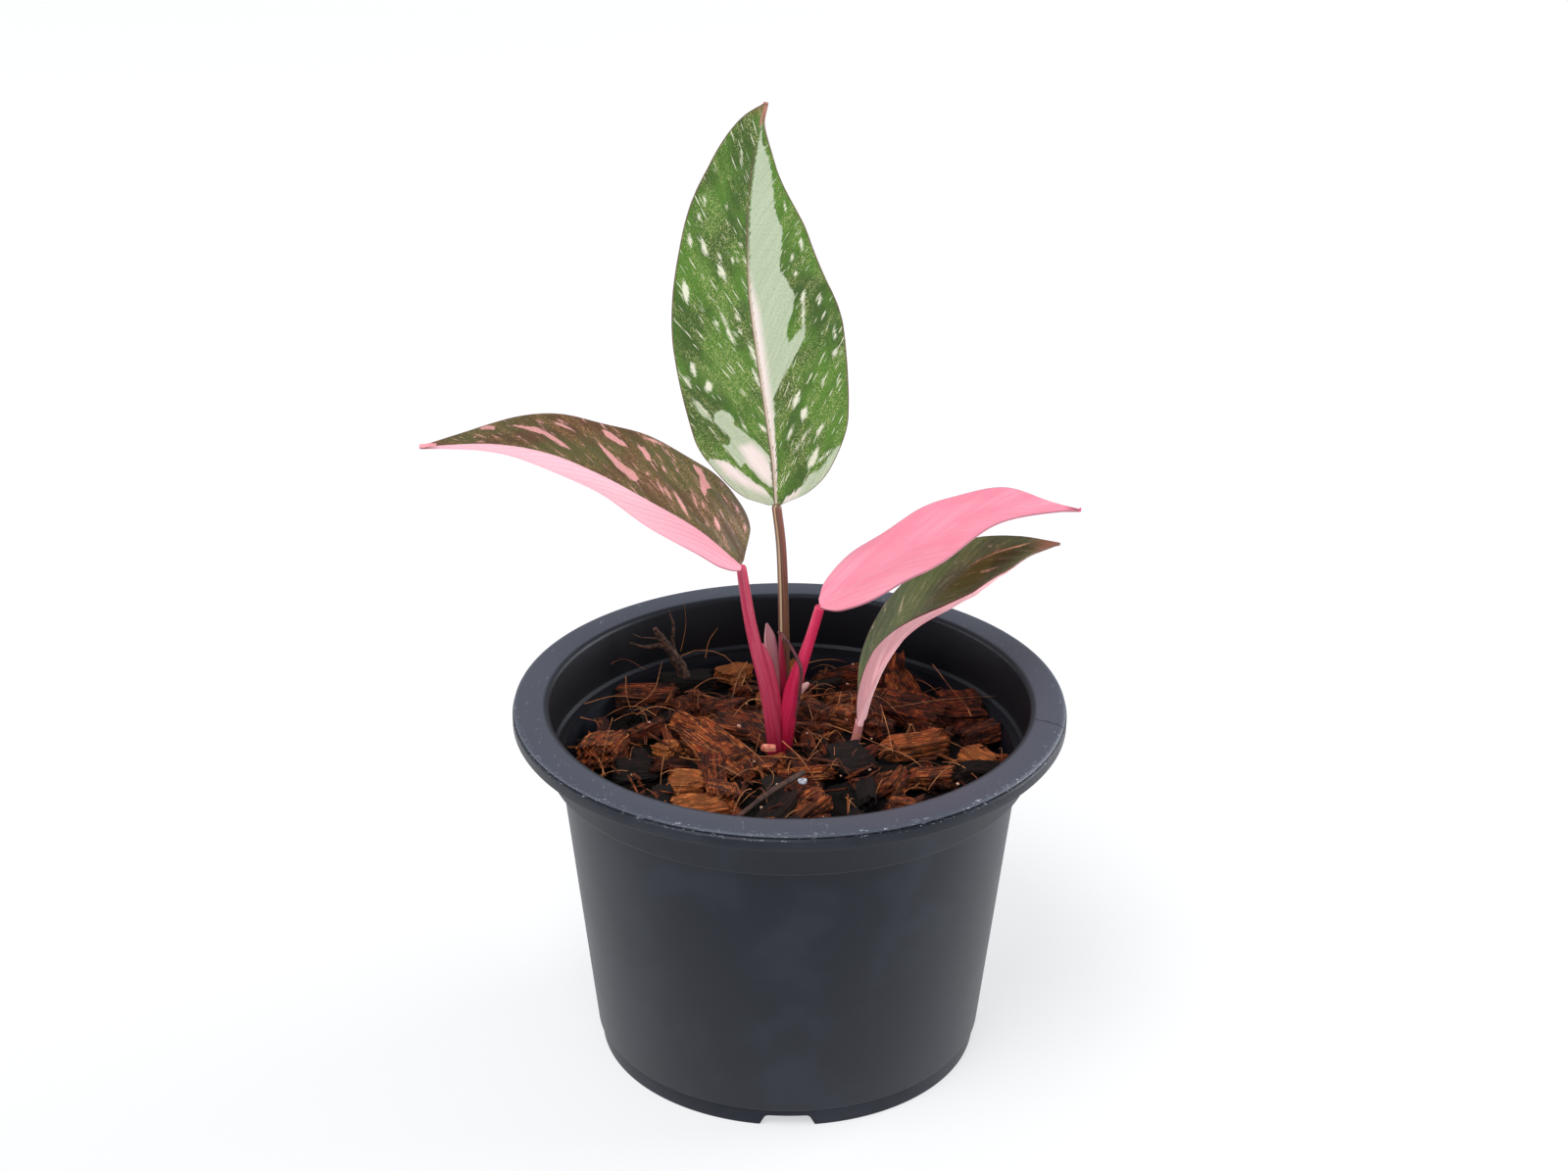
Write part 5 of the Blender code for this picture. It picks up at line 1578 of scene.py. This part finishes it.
BASE_RIGHT = ((17.6, 14.8), (19.5, 13.0), (15.0, 6.0), (9.0, 1.5), (3.1, 0.0), (1.0, 0.0), (3.3, 2.4),
              (6.6, 4.7), (9.2, 7.9), (12.1, 9.1), (15.0, 12.4))

BLADES = (
    Blade(
        "blade_a", "green_leaf",
        ((-3.9, 3.7, 158.6), (-4.8, 6.0, 170.3), (-6.6, 8.4, 182.7), (-9.0, 11.5, 198.6),
         (-11.1, 14.7, 215.0), (-11.4, 17.9, 231.9), (-10.4, 20.4, 244.4), (-8.5, 22.7, 256.2),
         (-7.0, 23.9, 262.6)),
        (0.0, -0.98, 0.19),
        (2.0, 8.6, 14.6, 19.9, 21.7, 17.3, 10.7, 4.6), (1.4, 8.4, 15.4, 21.4, 23.3, 15.8, 5.6, 0.6),
        ((6, 4), (4, 2)), ((6, 4), (4, 2)), 0.7, 3.5, GREEN_FACE, GREEN_BACK,
        (SECTOR, LOWER_LEFT, BASE_LEFT, BASE_RIGHT),
        ((-12, 82, -11.5, 79, 0.35), (-13, 77.5, -13, 75.5, 0.35), (-15.5, 72.5, -15, 69, 0.5),
         (-12.5, 72, -10.5, 66, 0.6), (-8, 68, -7, 65, 0.35), (-8, 65, -6, 60.5, 0.7),
         (-17, 61.5, -16.5, 55.5, 0.8), (-4.5, 67, -4, 64.5, 0.35), (-2.5, 70.5, -1.5, 68.5, 0.3),
         (-4, 94.5, -3, 89, 0.25), (-6, 80, -6, 78.5, 0.35), (9, 81.5, 9.5, 79, 0.25),
         (13.5, 72, 14, 68, 0.5), (11.5, 67.5, 11, 65, 0.5), (12.5, 62.5, 12, 61, 0.5),
         (14.5, 57, 13, 53, 0.5), (18.5, 55, 17.5, 51.5, 0.4), (-10, 52, -9, 47.5, 0.35),
         (-8.5, 53.5, -6.5, 48.5, 0.35), (-7.5, 49.5, -5.5, 44, 0.5), (-4.5, 52.5, -3.5, 50, 0.4),
         (-4, 48.5, -3.5, 46.5, 0.4), (-17.5, 41.5, -17, 37, 0.6), (-14.5, 35.5, -14, 33, 0.7),
         (-2, 44.5, -0.5, 37.5, 0.5), (-2, 37.5, -0.5, 31.5, 0.45), (-18.5, 32, -14, 24.5, 0.5),
         (-7, 24, -5.5, 20.5, 0.25), (21, 46, 20.5, 41.5, 0.4), (21, 40, 19.5, 37.5, 0.5),
         (14, 55.5, 12.5, 43, 0.4), (16.5, 33, 15.5, 29.5, 0.3), (9.8, 30, 7, 25, 0.7),
         (10.8, 25.5, 9.0, 21.5, 0.8), (6.8, 21, 4.3, 16.8, 0.4), (14.5, 20.6, 12.3, 16.8, 0.5),
         (10.8, 19.3, 5.4, 13.2, 0.25), (12.4, 14.4, 9.1, 9.1, 0.8), (16.0, 13.6, 11.2, 10.3, 0.3),
         (-20.1, 38.3, -18.5, 34.3, 0.5), (-13.9, 36, -13.8, 33, 0.9), (-7.1, 23.8, -5.2, 20.2, 0.2),
         (-2.3, 22.4, -0.6, 19.3, 0.5), (-6.3, 32.1, -4.9, 30.4, 0.2), (-2.1, 36.0, -0.7, 32.7, 0.4)),
        (((-8.0, 16.8), (-5.3, 17.2), (-2.6, 14.0), (-1.0, 10.3), (-0.8, 5.5), (-3.2, 7.9), (-6.1, 11.5)),
         ((-0.3, 62.0), (1.6, 52.0), (1.5, 30.0), (0.8, 2.0), (-0.3, 2.0)),
         ((-14.6, 14.0), (-12.0, 13.2), (-9.2, 9.5), (-5.9, 6.7), (-2.0, 3.2), (-4.9, 4.4), (-8.9, 6.7),
          (-12.4, 9.9)),
         ((2.1, 0.8), (4.3, 2.8), (6.5, 4.4), (5.4, 2.8), (3.2, 1.2))),
        columns=110, rows=240),
    Blade(
        "blade_b", "olive_pink_leaf",
        ((-13.2, -3.0, 143.9), (-24.6, -1.8, 153.6), (-38.2, -0.5, 161.6), (-50.8, 0.8, 168.3),
         (-64.2, 2.1, 173.5), (-79.1, 3.6, 175.3), (-97.9, 5.5, 173.6)),
        (0.0, 0.0, 1.0),
        (4.5, 9.3, 16.0, 19.8, 16.5, 12.5, 8.5, 3.6), (2.1, 13.4, 18.7, 22.8, 22.3, 18.1, 12.5, 5.0),
        ((7, 7), (7, 7)), ((18, 20), (14, 16)), 0.4, 3.0, OLIVE_FACE, OLIVE_BACK,
        (((7.1, 79.2), (8.4, 77.0), (7.8, 74.4), (6.1, 74.4), (5.9, 77.9)),
         ((8.4, 72.7), (9.2, 67.3), (9.3, 64.0), (7.4, 59.3), (5.9, 55.7), (4.1, 52.6), (3.9, 57.1),
          (6.5, 61.8), (7.3, 66.9)),
         ((17.5, 49.5), (17.5, 46.3), (16.4, 42.7), (14.4, 39.8), (13.8, 43.1), (15.1, 47.4)),
         ((12.8, 50.2), (10.8, 45.9), (7.8, 40.6), (7.2, 36.7), (5.2, 34.3), (3.4, 35.7), (5.1, 41.3),
          (8.8, 46.6)),
         ((16.8, 39.9), (17.5, 37.1), (16.4, 35.3), (13.9, 33.2), (13.1, 35.3), (15.6, 37.4)),
         ((21.3, 23.8), (21.7, 20.6), (18.5, 18.2), (16.5, 15.8), (15.7, 17.0), (11.6, 16.6), (13.6, 19.0),
          (18.2, 20.6), (19.7, 22.6))),
        ((8.7, 30.5, 4.5, 26.6, 0.4), (7.9, 27.8, 4.2, 24.2, 0.35), (8.7, 25.8, 1.5, 18.2, 0.55),
         (12.2, 21.4, 6.7, 17.4, 0.35), (7.9, 12.7, 4.5, 9.7, 0.7), (12.7, 61.1, 11.8, 55.3, 0.4),
         (12.0, 65.1, 10.9, 62.9, 0.3), (20.5, 39.5, 22.0, 31.2, 0.5), (10.5, 17.4, 7.7, 15.8, 0.35),
         (16.5, 9.0, 14.6, 7.5, 0.4), (13.4, 4.9, 10.8, 3.4, 0.4), (17.0, 27.0, 15.5, 26.2, 0.4),
         (9.4, 33.8, 8.2, 33.1, 0.4), (3, 79.5, 3, 79, 0.3), (1, 78.5, 1, 76.5, 0.35),
         (4, 68.5, 4, 67.5, 0.4), (14, 60, 13.5, 57, 0.3), (14.8, 31.0, 12.6, 28.6, 0.35),
         (5.0, 14.6, 2.6, 12.6, 0.3), (19.6, 29.4, 18.4, 27.4, 0.3), (11.6, 12.4, 9.8, 10.6, 0.3)),
        columns=72, rows=170),
    Blade(
        "blade_c", "pink_leaf",
        ((8.0, -2.0, 131.5), (19.6, -1.1, 139.8), (32.5, 0.0, 147.5), (46.4, 1.1, 154.4),
         (60.3, 2.2, 158.4), (76.8, 3.5, 157.5)),
        (0.0, 0.0, 1.0),
        (4.5, 12.2, 17.0, 19.8, 21.2, 20.5, 14.2, 4.6), (1.2, 6.8, 15.5, 20.6, 23.0, 14.0, 7.5, 3.0),
        ((-2, -4), (0, -2)), ((9, 7), (6, 6)), 0.6, 3.0, PINK_FACE, PINK_BACK, columns=64, rows=140),
    Blade(
        "blade_d", "green_leaf",
        ((19.3, 10.0, 89.8), (21.6, 10.0, 99.3), (25.7, 10.0, 109.5), (32.4, 10.0, 120.0),
         (40.7, 10.0, 130.0), (52.3, 10.0, 140.0), (61.4, 10.0, 143.9), (72.4, 10.0, 144.8)),
        (-0.35, -0.1, 1.0),
        (1.0, 1.8, 3.8, 10.5, 18.5, 17.5, 9.0, 3.5), (0.9, 1.6, 3.4, 7.0, 12.5, 17.0, 14.5, 5.5),
        ((20, 30), (6, 8), (0, 0), (-4, -4)), ((50, 70), (10, 80), (-35, 50), (0, 5)), 0.3, 2.5,
        DARK_FACE, DARK_BACK,
        (((-1.6, 78.0), (-0.7, 72.3), (-0.4, 67.8), (-0.9, 62.8), (-1.4, 58.2), (-2.6, 52.5), (-1.0, 56.5),
          (0.0, 62.0), (0.6, 67.5), (0.6, 72.3)),),
        ((-13.5, 35.5, -7.1, 30.7, 0.5), (-2.7, 45.8, -2.5, 52.6, 0.2), (-8.1, 53.0, -6.6, 53.5, 0.35),
         (-6.1, 55.4, -4.5, 55.9, 0.35), (-6.1, 63.2, -3.7, 64.4, 0.3), (-10.8, 43.4, -7.6, 40.7, 0.35),
         (2.7, 58.2, 5.8, 64.7, 0.4), (-18.2, 28.5, -14.6, 27.4, 0.3), (-15.5, 22.7, -13.8, 22.3, 0.35),
         (-8.5, 28.8, -7.8, 27.4, 0.3), (-5, 64, -5, 64.8, 0.25), (-3, 65.5, -3, 66.2, 0.25)),
        columns=64, rows=140),
)

BROWN_SKIN = StalkSkin("brown_skin", paint(104, 66, 52), paint(140, 104, 80), paint(62, 34, 30),
                       paint(206, 184, 148), paint(122, 84, 64), stripe=0.34)
MAGENTA_SKIN = StalkSkin("magenta_skin", paint(190, 40, 80), paint(220, 104, 128), paint(140, 10, 46),
                         paint(246, 150, 172), paint(204, 66, 100))
CRIMSON_SKIN = StalkSkin("crimson_skin", paint(204, 24, 76), paint(226, 66, 108), paint(138, 6, 40),
                         paint(246, 116, 148), paint(216, 44, 92))
PALE_SKIN = StalkSkin("pale_skin", paint(246, 182, 182), paint(252, 206, 202), paint(214, 134, 134),
                      paint(240, 190, 190), paint(232, 170, 168))
SPEAR_SKIN = StalkSkin("spear_skin", paint(152, 88, 104), paint(186, 132, 136), paint(110, 30, 54),
                       paint(214, 160, 160), paint(140, 110, 100), 0.5)
INNER_SKIN = StalkSkin("inner_skin", paint(142, 18, 52), paint(168, 44, 76), paint(90, 8, 30),
                       paint(196, 84, 104), paint(150, 30, 60))

STALKS = (
    Stalk("petiole_a", "brown_stalk", (
        Tube(((-2.6, 4.4, 78.0), (-2.3, 5.0, 92.0), (-1.6, 5.4, 108.0), (-1.7, 5.4, 122.0),
              (-2.0, 4.8, 134.0), (-2.6, 4.2, 147.0), (-3.9, 3.7, 158.9)),
             (1.9, 1.75, 1.6, 1.5, 1.4, 1.35, 1.3), rows=110, ribs=0.012),),
        BROWN_SKIN),
    Stalk("petiole_b", "magenta_stalk", (
        Tube(((-3.5, -0.8, 80.0), (-4.2, -1.4, 93.0), (-6.2, -2.2, 106.0), (-8.8, -2.8, 118.0),
              (-11.0, -3.0, 129.0), (-13.2, -3.0, 144.2)), (1.9, 2.3, 1.9, 1.75, 1.6, 1.35),
             rows=110, ribs=0.012),
        Tube(((-3.3, 0.0, 84.0), (-3.8, 0.0, 94.0), (-4.6, -0.8, 104.0), (-6.2, -1.4, 113.0),
              (-7.7, -2.2, 120.5)),
             (1.6, 2.2, 2.1, 1.9, 0.6), (1.8, 2.0, 1.8, 1.3, 0.5), rows=80, step_turn=0.86, step_slope=0.1,
             step=0.10)),
        MAGENTA_SKIN),
    Stalk("petiole_c", "crimson_stalk", (
        Tube(((-1.6, 0.2, 80.0), (-0.6, -0.6, 93.0), (1.2, -1.3, 106.0), (3.4, -1.8, 115.0),
              (5.8, -2.0, 123.5), (8.0, -2.0, 131.8)), (1.6, 1.9, 1.8, 1.7, 1.45, 1.35),
             rows=100, ribs=0.012),
        Tube(((-2.0, 0.6, 84.0), (-1.4, 0.0, 94.0), (-0.2, -0.3, 104.0), (1.2, -0.9, 110.0),
              (2.2, -1.3, 115.5)),
             (1.4, 1.7, 1.7, 1.4, 0.5), (1.6, 1.8, 1.6, 1.2, 0.5), rows=70, step_turn=0.5, step_slope=0.12,
             step=0.10)),
        CRIMSON_SKIN),
    Stalk("petiole_d", "pale_stalk", (
        Tube(((10.0, 6.0, 70.0), (15.5, 9.0, 78.0), (18.2, 10.0, 84.6), (19.3, 10.0, 90.3)),
             (1.4, 1.4, 1.35, 1.2), rows=40),), PALE_SKIN),
    Stalk("spear", "mauve_spear", (
        Tube(((-2.9, 2.6, 84.0), (-3.3, 2.6, 97.0), (-4.0, 2.4, 106.0), (-4.9, 2.2, 114.0),
              (-5.4, 2.0, 120.0), (-6.3, 2.0, 124.6)), (0.9, 1.3, 1.8, 1.9, 1.5, 0.25),
             rows=90, step_turn=0.6, step_slope=0.4, step=0.12),), SPEAR_SKIN),
    Stalk("inner_sheath", "crimson_stalk", (
        Tube(((-1.6, 2.6, 88.0), (-2.0, 2.6, 98.0), (-2.0, 2.5, 106.0), (-2.2, 2.3, 114.0),
              (-2.7, 2.0, 121.5)),
             (1.0, 1.2, 1.3, 0.9, 0.2), rows=70, step_turn=0.9, step_slope=0.0, step=0.08),), INNER_SKIN),
    Stalk("dry_tendril", "dark_bark", (
        Tube(((-3.3, 0.9, 122.4), (-2.0, -0.6, 122.2), (0.6, -3.0, 119.2), (2.2, -4.3, 116.4),
              (3.0, -4.7, 113.6), (2.8, -4.4, 109.0), (2.4, -3.6, 104.0), (1.6, -3.1, 98.5)),
             (0.35, 0.42, 0.45, 0.5, 0.5, 0.5, 0.42, 0.3), sides=12, rows=90, rough=0.05, lumps=1.2),),
        PlainFibre("dry_skin", paint(66, 32, 38), paint(104, 54, 56), 1.5, 0.7)),
    Stalk("stem_base", "brown_stalk", (
        Tube(((-1.5, 1.5, 58.0), (-1.8, 1.5, 66.0), (-2.0, 1.5, 74.0), (-2.2, 1.5, 79.5)),
             (2.6, 3.4, 3.8, 3.6), rows=40),), BROWN_SKIN),
)


def main() -> None:
    """Build every piece in order, then the stage."""
    logging.basicConfig(level=logging.INFO, format="%(name)s %(message)s")
    NurseryPot().build()
    HuskMix().build()
    Twig().build()
    for blade in BLADES:
        blade.build()
    for stalk in STALKS:
        stalk.build()
    Stage().build()
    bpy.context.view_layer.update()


if __name__ == "__main__":
    main()
